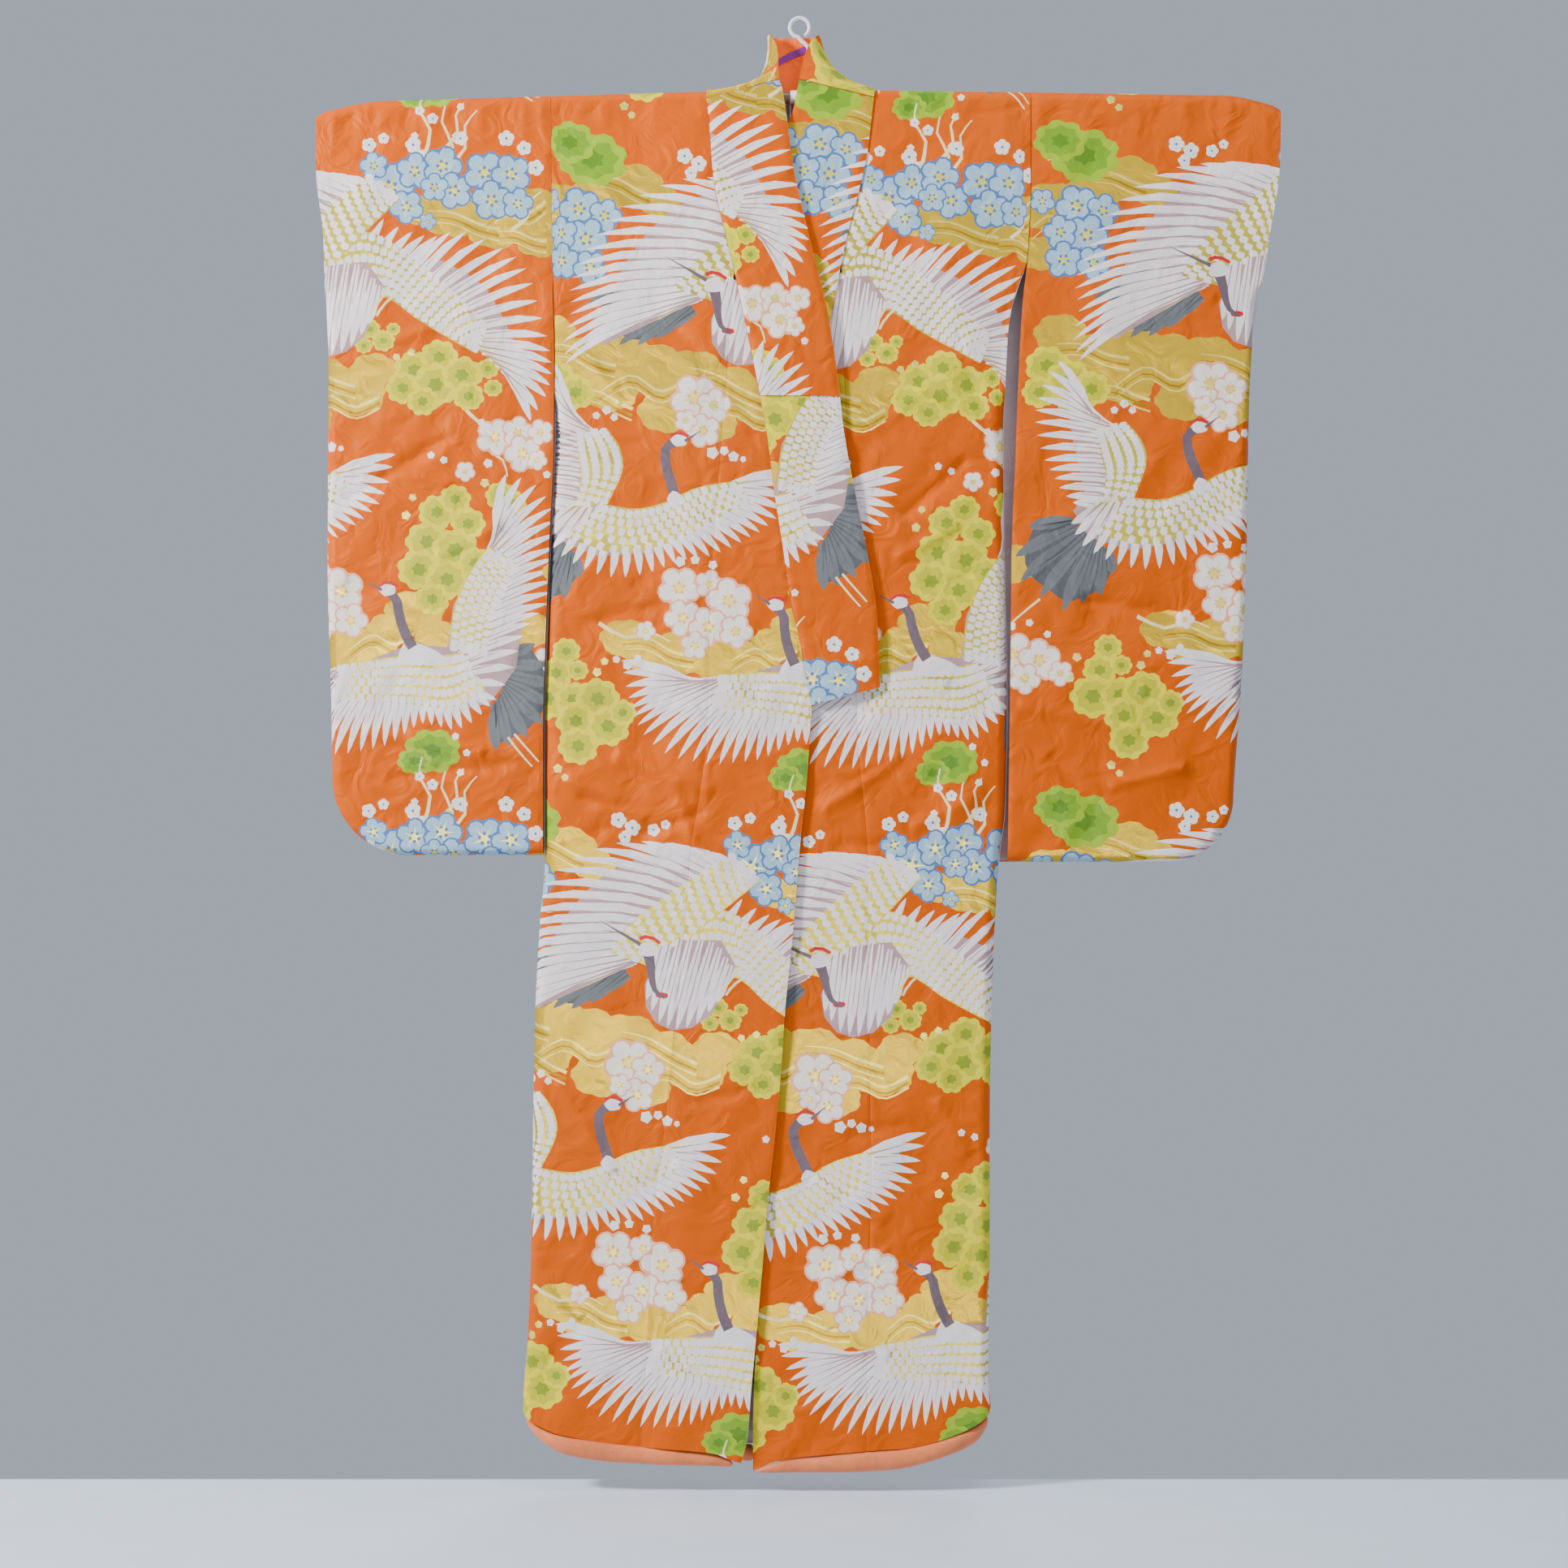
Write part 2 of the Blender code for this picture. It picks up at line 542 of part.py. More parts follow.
def neck_point(place, across):
    """A point of the neck collar's inner face, in millimetres as (x, y, drop)."""
    values = row_at(NECK_COLLAR, place)
    seam, bend, free = values[0:3], values[3:6], values[6:9]
    u, v = across, 1 - across
    x, drop, y = (v * v * s + 2 * u * v * b + u * u * f for s, b, f in zip(seam, bend, free))
    return Vector((x, y, drop))


def neck_outward(place, across):
    """Direction from the neck collar's inner face away from the hook's stem."""
    along = neck_point(place + 0.05, across) - neck_point(place - 0.05, across)
    over = neck_point(place, across + 0.02) - neck_point(place, across - 0.02)
    return along.cross(over).normalized()


def neck_collar():
    """The collar round the back of the neck, standing up behind the hook."""
    columns = steps(NECK_ACROSS, False, False)
    rows = steps(NECK_ROUND, False, False)
    last = len(NECK_COLLAR) - 1

    def place(column, row, layer):
        station = mix(NECK_END, last - NECK_END, row[0])
        point = neck_point(station, column[0])
        if layer:
            at_end = row[0] in (0.0, 1.0)
            outward = Vector((0.0, -1.0, 0.0)) if at_end else neck_outward(station, column[0])
            point = point + outward * NECK_WALL
        return point

    add_object("collar_neck", wall_mesh("collar_neck", columns, rows, place), "brocade")


def neck_ribbon():
    """The purple ribbon that lies slantwise on the inside of the neck collar."""
    columns = steps(1, False, False)
    rows = steps(6, False, False)

    def place(column, row, layer):
        station = mix(RIBBON_FROM, RIBBON_TO, row[0])
        across = mix(RIBBON_LOW, RIBBON_HIGH, row[0]) + RIBBON_WIDTH * column[0]
        inset = LAY_GAP + RIBBON_WALL * layer
        return neck_point(station, across) - neck_outward(station, across) * inset

    add_object("neck_ribbon", wall_mesh("neck_ribbon", columns, rows, place), "ribbon")


def hem_roll(name, sections, side):
    """A padded roll below the hem: flattened rings along it, bridged and capped."""
    mesh = bmesh.new()
    loops = []
    for number in range(2 * len(sections) - 1):
        x, top, bottom, half = row_at(sections, number / 2)
        ring = bmesh.ops.create_circle(mesh, cap_ends=False, radius=1.0, segments=ROLL_SIDES)
        middle = half_depth(x, top, side) - WALL / 2
        end = min(x - read(LEFT_SIDE, top), read(RIGHT_SIDE, top) - x)
        middle = mix(half + HALF_GAP + ROLL_CLEARANCE, middle,
                     ease(end, ROLL_END_FROM, ROLL_END_TO))
        for point in ring["verts"]:
            y = side * middle + half * point.co.x
            drop = (top + bottom) / 2 - (bottom - top) / 2 * point.co.y
            point.co = Vector((x * MM, y * MM, -drop * MM))
        loops.append(ring["verts"])
    for before, after in zip(loops, loops[1:]):
        edges = [edge for edge in mesh.edges
                 if all(v in before for v in edge.verts) or all(v in after for v in edge.verts)]
        bmesh.ops.bridge_loops(mesh, edges=edges)
    for ring in (loops[0], loops[-1]):
        bmesh.ops.contextual_create(mesh, geom=ring)
    add_object(name, finished_mesh(name, mesh), "hem_padding")


def rod_drop(x):
    """Drop of the rod's centre line, just under the folded cloth."""
    fall = LEFT_ARM_FALL if x < 0 else RIGHT_ARM_FALL
    return SHOULDER_DROP + fall * abs(x) + WALL + LAY_GAP + ROD_RADIUS


def round_bar(name, start, end, radius, sides, finish):
    """A straight capped cylinder between two points, in millimetres."""
    axis = Vector(end) - Vector(start)
    mesh = bmesh.new()
    bmesh.ops.create_cone(mesh, cap_ends=True, segments=sides, radius1=radius * MM,
                          radius2=radius * MM, depth=axis.length * MM)
    bar = add_object(name, finished_mesh(name, mesh), finish)
    bar.location = (Vector(start) + Vector(end)) / 2 * MM
    bar.rotation_mode = "QUATERNION"
    bar.rotation_quaternion = axis.to_track_quat("Z", "Y")


def hanger():
    """Two rod arms in a hub, and a hook whose stem is cranked aside behind the collar."""
    hub_left = HUB_X - HUB_LENGTH / 2
    hub_right = HUB_X + HUB_LENGTH / 2
    hub_drop = rod_drop(0.0)
    round_bar("hanger_arm_left", (LEFT_ARM_END, 0, -rod_drop(LEFT_ARM_END)),
              (hub_left - SEAM_GAP, 0, -rod_drop(hub_left)), ROD_RADIUS, 16, "rod")
    round_bar("hanger_arm_right", (hub_right + SEAM_GAP, 0, -rod_drop(hub_right)),
              (RIGHT_ARM_END, 0, -rod_drop(RIGHT_ARM_END)), ROD_RADIUS, 16, "rod")
    round_bar("hanger_hub", (hub_left, 0, -hub_drop), (hub_right, 0, -hub_drop),
              HUB_RADIUS, 20, "white_plastic")
    wire = HOOK_INSIDE_RADIUS + HOOK_WIRE_RADIUS
    points = []
    for number in range(HOOK_POINTS):
        part = number / (HOOK_POINTS - 1)
        angle = math.radians(mix(HOOK_FROM_ANGLE, HOOK_TO_ANGLE, part))
        points.append((wire * math.cos(angle), -HOOK_INSIDE_RADIUS + wire * math.sin(angle)))
    points += HOOK_CRANK
    points.append((HUB_X, -(hub_drop - HUB_RADIUS - LAY_GAP)))
    line = bpy.data.curves.new("hanger_hook", "CURVE")
    line.dimensions = "3D"
    line.bevel_depth = HOOK_WIRE_RADIUS * MM
    line.bevel_resolution = 2
    line.use_fill_caps = True
    spline = line.splines.new("POLY")
    spline.points.add(len(points) - 1)
    for point, (x, z) in zip(spline.points, points):
        point.co = (x * MM, 0.0, z * MM, 1.0)
    add_object("hanger_hook", line, "white_plastic")


def robe():
    """Every cloth piece, side by side and layer by layer."""
    front, back, left, right = -1, 1, -1, 1
    sleeve_panel("sleeve_left_front", front, left, left_inner_edge, LEFT_CUFF_EDGE,
                 LEFT_SLEEVE_BOTTOM, LEFT_SLEEVE_CORNER, LEFT_STATIONS)
    sleeve_panel("sleeve_left_back", back, left, left_inner_edge, LEFT_CUFF_EDGE,
                 LEFT_SLEEVE_BOTTOM, LEFT_SLEEVE_CORNER, LEFT_STATIONS)
    sleeve_panel("sleeve_right_front", front, right, right_front_inner_edge, RIGHT_CUFF_EDGE,
                 RIGHT_SLEEVE_BOTTOM, RIGHT_SLEEVE_CORNER, RIGHT_STATIONS)
    sleeve_panel("sleeve_right_back", back, right, right_back_inner_edge, RIGHT_CUFF_EDGE,
                 RIGHT_SLEEVE_BOTTOM, RIGHT_SLEEVE_CORNER, RIGHT_STATIONS)
    body_panel("body_left_front", front, left, LEFT_SIDE,
               middle_of_front(LEFT_COLLAR, LEFT_GORE_SEAM, LEFT_STATIONS, 1),
               LEFT_HEM, LEFT_STATIONS, lap)
    body_panel("body_right_front", front, right, RIGHT_SIDE,
               middle_of_front(RIGHT_COLLAR, RIGHT_GORE_SEAM, RIGHT_STATIONS, -1),
               RIGHT_HEM, RIGHT_STATIONS, no_lap)
    body_panel("body_left_back", back, left, LEFT_SIDE,
               lambda drop: read(CENTRE_BACK, drop) - SEAM_GAP, BACK_HEM, LEFT_STATIONS,
               no_lap, True)
    body_panel("body_right_back", back, right, RIGHT_SIDE,
               lambda drop: read(CENTRE_BACK, drop) + SEAM_GAP, BACK_HEM, RIGHT_STATIONS,
               no_lap, True)
    gore_panel("gore_left", 1, LEFT_COLLAR, LEFT_GORE_SEAM, LEFT_FRONT_EDGE, LEFT_HEM,
               LEFT_STATIONS, lap)
    gore_panel("gore_right", -1, RIGHT_COLLAR, RIGHT_GORE_SEAM, RIGHT_FRONT_EDGE, RIGHT_HEM,
               RIGHT_STATIONS, no_lap)
    lowest = COLLAR_PROUD - COLLAR_WALL
    left_end, right_end = len(LEFT_COLLAR) - 1, len(RIGHT_COLLAR) - 1
    collar_panel("collar_left", LEFT_COLLAR, lap, 0.0, left_end, left_end, lowest, COLLAR_WALL)
    collar_panel("collar_right", RIGHT_COLLAR, no_lap, 0.0, right_end, right_end, lowest,
                 COLLAR_WALL)
    over = COLLAR_PROUD + LAY_GAP
    collar_panel("over_collar_left", LEFT_COLLAR, lap, 0.0, OVER_COLLAR_ROWS, 8, over,
                 OVER_COLLAR_WALL)
    collar_panel("over_collar_right", RIGHT_COLLAR, no_lap, 0.0, OVER_COLLAR_ROWS, 8, over,
                 OVER_COLLAR_WALL)
    neck_collar()
    neck_ribbon()
    hem_roll("hem_roll_left_front", LEFT_ROLL, front)
    hem_roll("hem_roll_right_front", RIGHT_ROLL, front)
    hem_roll("hem_roll_left_back", LEFT_BACK_ROLL, back)
    hem_roll("hem_roll_right_back", RIGHT_BACK_ROLL, back)


clear_scene()
COLLECTION = bpy.data.collections.new("wedding_kimono")
bpy.context.scene.collection.children.link(COLLECTION)
hanger()
robe()
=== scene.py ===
"""Looks of the wedding kimono on its hanger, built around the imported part.

Tables are in millimetres: a drop is measured down from the inside top of the hanger's hook, and
x to the viewer's right. Each cloth piece is drawn flat, its woven figures are cut into its own
faces, and it is then draped over its solid's form as a thin shell with a lining.
"""

import math
from bisect import bisect_right

import bmesh
import bpy
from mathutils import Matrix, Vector
from mathutils.geometry import delaunay_2d_cdt


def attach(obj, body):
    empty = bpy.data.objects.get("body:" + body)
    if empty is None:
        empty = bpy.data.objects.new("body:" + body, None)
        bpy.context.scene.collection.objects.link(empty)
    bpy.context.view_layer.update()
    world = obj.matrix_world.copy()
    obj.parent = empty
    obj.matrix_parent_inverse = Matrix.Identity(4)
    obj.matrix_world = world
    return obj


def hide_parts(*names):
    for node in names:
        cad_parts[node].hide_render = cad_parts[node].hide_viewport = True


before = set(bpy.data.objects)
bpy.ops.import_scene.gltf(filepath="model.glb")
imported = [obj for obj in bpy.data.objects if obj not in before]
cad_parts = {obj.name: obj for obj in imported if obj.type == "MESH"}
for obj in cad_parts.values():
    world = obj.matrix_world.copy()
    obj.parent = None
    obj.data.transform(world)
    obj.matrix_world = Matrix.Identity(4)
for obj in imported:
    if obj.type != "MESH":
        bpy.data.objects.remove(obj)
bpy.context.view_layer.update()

bl_info = {
    "name": "Wedding kimono",
    "version": (1, 0, 0),
    "blender": (4, 5, 0),
    "location": "View3D > Sidebar > Kimono",
    "description": "Builds a brocade wedding kimono hung open on its hanger",
    "category": "Object",
}

MM = 0.001
FRONT, BACK = -1, 1
LEFT, RIGHT = -1, 1

# Depth of the hung robe
SEAM_GAP = 0.3
HALF_GAP = SEAM_GAP / 2
FOLD_RADIUS = 11.8
SIDE_ROLL = 14.0
LAP_STEP = 7.0
LAP_FROM_X, LAP_FULL_X = -235.0, -135.0
LAP_FROM_DROP, LAP_FULL_DROP = 80.0, 145.0
SIDE_BLEND = 80.0
COLLAR_PROUD = 1.5
OVER_COLLAR_PROUD = 3.0
# columns: below the shoulder, half depth
BODY_DEPTH = ((0, 11.8), (14, 11.8), (70, 13.2), (260, 17), (620, 19), (1100, 18), (1860, 18))
SLEEVE_DEPTH = ((0, 11.8), (14, 11.8), (70, 12.6), (260, 14.5), (620, 16), (1100, 15), (1860, 15))

# Shoulder line over the hanger
SHOULDER_DROP = 93.5
LEFT_ARM_FALL, RIGHT_ARM_FALL = 0.0291, 0.0153
TIP_SAG = 16.0
LEFT_SAG_FROM, LEFT_SAG_LENGTH = 566.0, 86.0
RIGHT_SAG_FROM, RIGHT_SAG_LENGTH = 575.0, 74.0

# Openings along the side
ARMHOLE_END = 343.0
SIDE_SEAM_START = 497.0
CUFF_END = 350.0
CLOSING_LENGTH = 45.0

# Outlines seen from the front; columns: drop, x
LEFT_SIDE = ((90, -335), (310, -333), (450, -329), (585, -330), (695, -335), (849, -341),
             (959, -344), (1135, -344), (1223, -351), (1377, -358), (1586, -361),
             (1707, -364), (1795, -368), (1861, -373), (1900, -373))
LEFT_GORE_SEAM = ((343, -88), (464, -97), (629, -110), (794, -121), (959, -125), (1135, -148),
                  (1245, -156), (1355, -168), (1509, -184), (1619, -198), (1773, -204),
                  (1861, -211), (1960, -215))
LEFT_FRONT_EDGE = ((926, 16.5), (1025, 10), (1113, 1), (1245, -10), (1333, -19), (1421, -25),
                   (1509, -33), (1597, -43), (1685, -50), (1773, -58), (1861, -66),
                   (1905, -69), (1950, -80))
RIGHT_SIDE = ((90, 311), (233, 311), (299, 308), (332, 305), (354, 297), (387, 286),
              (431, 280), (563, 275), (673, 276), (937, 280), (1069, 277), (1135, 269),
              (1289, 261), (1487, 257), (1640, 257), (1820, 255), (1883, 259))
RIGHT_GORE_SEAM = ((332, 56), (464, 60), (629, 67), (794, 73), (970, 78), (1135, 91),
                   (1443, 94), (1553, 96), (1729, 91), (1960, 89))
RIGHT_FRONT_EDGE = ((917, -36.3), (1179, -44), (1399, -52), (1619, -57), (1773, -59),
                    (1905, -63), (1960, -63))
CENTRE_BACK = ((90, -12), (959, -27), (1619, -49), (1960, -57))
LEFT_CUFF_EDGE = ((90, -652), (205, -651), (299, -641), (409, -638), (453, -636), (739, -637),
                  (937, -632), (1128, -630))
RIGHT_CUFF_EDGE = ((90, 649), (195, 647), (299, 632), (343, 625), (387, 616), (442, 611),
                   (519, 607), (739, 603), (904, 596), (1047, 586), (1137, 584))
RIGHT_SLEEVE_INNER_EDGE = ((90, 311), (233, 311), (299, 308), (332, 306), (387, 300),
                           (453, 296), (574, 291), (739, 285), (849, 284), (1137, 280))
ARMHOLE_GAP, FREE_GAP, FREE_BLEND = 0.5, 1.5, 30
GORE_POINT = 12.0

# Lower edges; columns: x, drop
LEFT_HEM = ((-373, 1883), (-352, 1896), (-324, 1907), (-225, 1922), (-115, 1931), (-88, 1941),
            (-60, 1949))
RIGHT_HEM = ((-64, 1956), (-55, 1952), (-27, 1941), (82, 1930), (148, 1925), (192, 1914),
             (236, 1896), (260, 1878))
BACK_HEM = LEFT_HEM[:3] + ((-225, 1920), (-57, 1926), (82, 1925), (148, 1921),
                           (192, 1912)) + RIGHT_HEM[-2:]
LEFT_SLEEVE_BOTTOM, LEFT_SLEEVE_CORNER = 1128.0, 105.0
RIGHT_SLEEVE_BOTTOM, RIGHT_SLEEVE_CORNER = 1137.0, 88.0
NECK_EDGE_DROP = 112.6

# Collar stretches; columns: seam x, seam drop, free edge x, free edge drop
LEFT_COLLAR = ((-125.4, 110, -27.5, 84), (-123, 129, -22, 103), (-120, 162, -16.5, 141),
               (-115, 222, -7, 211), (-101, 288, 11, 288), (-88, 343, 25, 346),
               (-77, 393, 37, 396), (-60, 475, 50, 477), (-44, 563, 60, 563),
               (-34, 640, 74, 638), (-22, 717, 89, 713), (-13, 783, 100, 774),
               (0, 838, 105, 827), (9, 893, 107, 873), (16.5, 926, 108, 902))
RIGHT_COLLAR = ((100, 108, -1, 84), (98, 125, -8, 121), (94.6, 154, -18, 150),
                (90, 189, -27, 189), (80, 233, -38, 233), (68, 277, -48, 279),
                (58, 321, -56, 323), (41, 409, -69, 409), (22, 497, -85, 497),
                (5, 585, -99, 585), (-9, 673, -110, 671), (-21, 761, -120, 755),
                (-31, 849, -128, 834), (-36.3, 917, -133, 895))
OVER_COLLAR_ROWS = 7.4

# Neck collar; columns: seam x, drop, y, bend x, drop, y, free edge x, drop, y
NECK_COLLAR = (
    (-125.4, 110, -13.3, -76, 97, -13.3, -27.5, 84, -13.3),
    (-125.4, 99.5, -9.4, -56, 94, -12, -28.5, 62, -11),
    (-125.4, 95.6, 0, -38, 103, -6, -30, 38, -9),
    (-125, 99.5, 9.4, -34, 104, 4, -38, 22, -4),
    (-122, 112, 13.3, -36, 104, 11, -41.5, 22, 1.5),
    (-90, 112, 13.3, -40, 92, 13, -37, 22, 7),
    (-45, 112, 13.3, -30, 72, 13.3, -24, 22, 10),
    (-10, 112, 13.3, -8, 68, 13.3, -6, 22, 11),
    (30, 112, 13.3, 14, 72, 13.3, 12, 22, 10),
    (65, 112, 13.3, 34, 86, 13, 22, 22, 7),
    (97, 110, 13.3, 42, 88, 11, 26, 22, 1.5),
    (100.5, 97.4, 9.4, 44, 86, 3, 23, 23, -4),
    (101, 93.4, 0, 46, 86, -6, 16, 30, -9),
    (100.8, 97.4, -9.4, 50, 90, -12, 7, 50, -11),
    (100, 108, -13.3, 50, 96, -13.3, -1, 84, -13.3))
NECK_STEP, NECK_DEPTH = 24.0, 78.0
NECK_END = 0.07
NECK_CLOTH = 1.8
NECK_GAP, NECK_TURN_FROM, NECK_TURN_TO = 0.5, -1.0, 12.0
# how far on its direction is read, along its rows and across them
NEXT_ROW, NEXT_ACROSS = 0.05, 0.02

# Ribbon inside the neck: rows of the table above, share of its height, width and wall
RIBBON_FROM, RIBBON_TO = 5.6, 8.2
RIBBON_LOW, RIBBON_HIGH = 0.56, 0.84
RIBBON_WIDTH, RIBBON_WALL = 0.1, 0.7
RIBBON_INSET, RIBBON_WAVE, RIBBON_PACE = 2.4, 0.3, 19
RIBBON_ACROSS, RIBBON_ALONG = 4, 24

# Hanger
ROD_RADIUS, HUB_RADIUS = 8.5, 9.5
ROD_BELOW = 11.3
HUB_X, HUB_LENGTH = 12.0, 50.0
LEFT_ARM_END, RIGHT_ARM_END = -542.0, 538.0
BAR_EDGE, ARM_SIDES, HUB_SIDES = 1.2, 32, 40
HOOK_INSIDE_RADIUS, HOOK_WIRE_RADIUS = 10.5, 2.6
HOOK_FROM_ANGLE, HOOK_TO_ANGLE = -52, 262
# from the loop, round behind the collar, down to the hub; columns: x, drop
HOOK_CRANK = ((2, 28), (8, 33), (HUB_X, 40), (HUB_X, 60))
LOOP_STEPS, STEM_STEPS, WIRE_SIDES = 40, 30, 14
DOME = 0.4

# Studio, in metres and watts; lamp columns: name, place, aimed at, size, power, colour
FLOOR_Z, FLOOR_BACK, FLOOR_WIDTH, FLOOR_LENGTH = -1.985, 0.06, 6.0, 1.6
VIEW_X, VIEW_Z = -0.021, -1.032
SENSOR_WIDTH, LENS_PER_METRE = 36.0, 17.0
AIR_STRENGTH = 0.66
LAMPS = (("key", (-2.9, -1.5, 0.7), (0.1, 0.0, -1.0), 0.7, 235, (1.0, 0.98, 0.95)),
         ("fill", (1.6, -3.2, -0.9), (0.0, 0.0, -1.0), 1.8, 18, (0.98, 0.99, 1.0)),
         ("top", (0.4, -1.0, 1.5), (0.0, 0.0, -0.6), 1.2, 26, (1.0, 1.0, 1.0)),
         ("behind", (0.4, 2.6, 0.3), (0.0, 0.0, -1.0), 1.6, 40, (1.0, 1.0, 1.0)))

# Padded hem rolls; columns: x, top drop, bottom drop, half thickness
LEFT_ROLL = ((-368, 1887, 1895, 3), (-352, 1898, 1914, 6), (-324, 1909, 1931, 8),
             (-280, 1916, 1941, 8.5), (-203, 1925, 1947, 8.5), (-125, 1932, 1949, 8),
             (-90, 1943, 1950, 3))
RIGHT_ROLL = ((-58, 1955, 1958, 2), (-27, 1944, 1958, 6), (27, 1938, 1958, 8.5),
              (82, 1932, 1957, 8.5), (137, 1928, 1953, 8.5), (192, 1916, 1938, 8),
              (236, 1899, 1920, 6), (254, 1885, 1897, 3))
LEFT_BACK_ROLL = LEFT_ROLL[:3] + ((-280, 1916, 1940, 8.5), (-203, 1923, 1946, 8.5),
                                  (-125, 1926, 1949, 8.5), (-59, 1928, 1950, 8.5))
RIGHT_BACK_ROLL = ((-56, 1928, 1950, 8.5), (27, 1927, 1951, 8.5), (82, 1927, 1951, 8.5),
                   (137, 1924, 1948, 8.5), (192, 1914, 1936, 8), (236, 1899, 1919, 6),
                   (254, 1885, 1897, 3))
ROLL_SIDES, ROLL_ROWS, ROLL_TUCK = 20, 6, 0.8
ROLL_CLEARANCE, ROLL_BEHIND = 0.2, 1.25
ROLL_END_FROM, ROLL_END_TO, ROLL_END_SIZE = 4, 60, 0.5
# columns: height, pace along x, shift between front and back
PUCKERS = ((0.05, 0.31, 1), (0.035, 0.83, 2))
# they stop short of its upper and lower edge; low waves run round it, and it is a little slack
PUCKERS_WITHIN, ROLL_SLACK = 0.8, 0.06
ROLL_WAVE, ROLL_WAVES, ROLL_WAVE_PACE = 0.03, 3, 0.17

# Largest folds, as in the solids; columns: from x, drop, to x, drop, half width, height
FRONT_FOLDS = (
    (137, 673, 226, 596, 26, -4.0), (120, 700, 235, 640, 30, 3.5),
    (16, 1000, 150, 1120, 30, 4.0), (60, 980, 190, 1040, 28, -3.0),
    (-330, 1010, -95, 1130, 34, 4.0), (-300, 930, -150, 1000, 30, -3.5),
    (-370, 1670, -290, 1760, 30, -4.0), (-320, 1432, -200, 1560, 34, 4.5),
    (-340, 560, -200, 640, 34, 3.5), (-250, 250, -220, 520, 36, 3.0),
    (180, 220, 230, 480, 36, 3.5), (60, 1300, 200, 1420, 34, 3.5),
    (140, 1480, 240, 1700, 34, -3.5), (-280, 1250, -120, 1330, 30, -3.0),
    (380, 783, 511, 805, 26, -4.0), (412, 1036, 522, 1009, 26, 4.0),
    (330, 900, 540, 860, 30, 3.5), (340, 620, 560, 560, 34, 3.0),
    (520, 180, 600, 330, 34, -3.0), (380, 240, 430, 480, 36, 3.0),
    (-600, 200, -560, 420, 34, 3.0), (-600, 640, -400, 700, 34, 3.5),
    (-560, 900, -380, 960, 30, -3.5), (-440, 260, -380, 480, 34, -3.0))
BACK_FOLDS = (
    (-300, 300, -240, 620, 36, 3.5), (-160, 240, -190, 700, 36, -3.0),
    (60, 260, 120, 640, 36, 3.5), (200, 420, 230, 820, 36, 3.0),
    (-320, 900, -120, 1040, 34, 4.0), (20, 880, 200, 980, 34, -3.5),
    (-340, 1300, -150, 1440, 34, 4.0), (40, 1240, 230, 1360, 34, 3.5),
    (-120, 1500, -60, 1780, 36, -3.5), (80, 1500, 220, 1700, 34, 4.0),
    (-600, 300, -540, 560, 34, 3.0), (-560, 800, -380, 880, 32, -3.5),
    (380, 300, 420, 620, 34, 3.0), (400, 860, 560, 800, 32, 3.5))

# Sharper creases that only the cloth has; columns as above
FRONT_CREASES = (
    (-314, 1025, -204, 1080, 9, 1.8), (-300, 1052, -228, 1062, 7, -1.3),
    (-248, 992, -116, 1042, 10, 1.7), (-214, 1102, -126, 1069, 8, -1.5),
    (-170, 1025, -138, 1124, 9, 1.4), (-322, 1110, -262, 1092, 7, -1.2),
    (28, 1069, 138, 992, 9, 1.8), (50, 1113, 148, 1113, 8, -1.4),
    (60, 1036, 118, 1003, 6, -1.2), (150, 1090, 236, 1050, 9, 1.4),
    (139, 674, 226, 596, 8, -1.8), (127, 728, 215, 684, 8, 1.5),
    (170, 770, 250, 742, 7, -1.0), (100, 560, 168, 500, 9, 1.2),
    (380, 783, 512, 806, 8, -1.7), (292, 926, 456, 960, 9, 1.5),
    (412, 1036, 522, 1009, 7, 1.8), (336, 992, 402, 1069, 9, -1.4),
    (456, 904, 578, 937, 9, 1.5), (330, 690, 420, 640, 9, 1.2),
    (470, 600, 590, 640, 10, 1.3), (350, 440, 470, 420, 8, -1.0),
    (440, 300, 560, 380, 10, 1.3), (500, 470, 560, 560, 8, -1.1),
    (-643, 585, -468, 629, 9, 1.5), (-610, 651, -468, 563, 8, -1.4),
    (-588, 959, -424, 992, 9, 1.6), (-556, 1025, -380, 1003, 8, -1.3),
    (-490, 728, -402, 684, 8, 1.2), (-610, 760, -500, 800, 9, -1.1),
    (-600, 860, -520, 830, 7, 1.0), (-560, 440, -440, 400, 9, 1.2),
    (-420, 560, -350, 620, 8, -1.1), (-400, 880, -350, 800, 8, 1.2),
    (-380, 1652, -292, 1751, 9, 1.7), (-350, 1620, -300, 1660, 7, -1.3),
    (-325, 1432, -248, 1553, 9, 1.5), (-170, 1542, -60, 1597, 9, 1.4),
    (-150, 1460, -50, 1440, 8, -1.0), (-260, 1640, -160, 1700, 9, 1.2),
    (-340, 1800, -240, 1840, 9, -1.2), (-190, 1790, -80, 1860, 9, 1.2),
    (17, 1564, 116, 1619, 9, 1.5), (60, 1509, 148, 1487, 8, -1.2),
    (182, 1454, 226, 1531, 9, 1.3), (30, 1700, 120, 1660, 9, 1.1),
    (120, 1800, 230, 1850, 9, -1.2), (-20, 1880, 80, 1850, 8, 1.1),
    (-320, 700, -220, 760, 9, 1.2), (-300, 820, -180, 790, 9, -1.1),
    (-200, 880, -60, 920, 9, 1.2), (-310, 430, -240, 520, 9, 1.1),
    (-280, 210, -200, 300, 9, 1.1), (-190, 400, -120, 470, 8, -1.0),
    (140, 260, 200, 340, 9, 1.1), (210, 430, 250, 540, 8, -1.0),
    (80, 860, 200, 900, 10, 1.2), (20, 940, 90, 970, 8, -1.0))
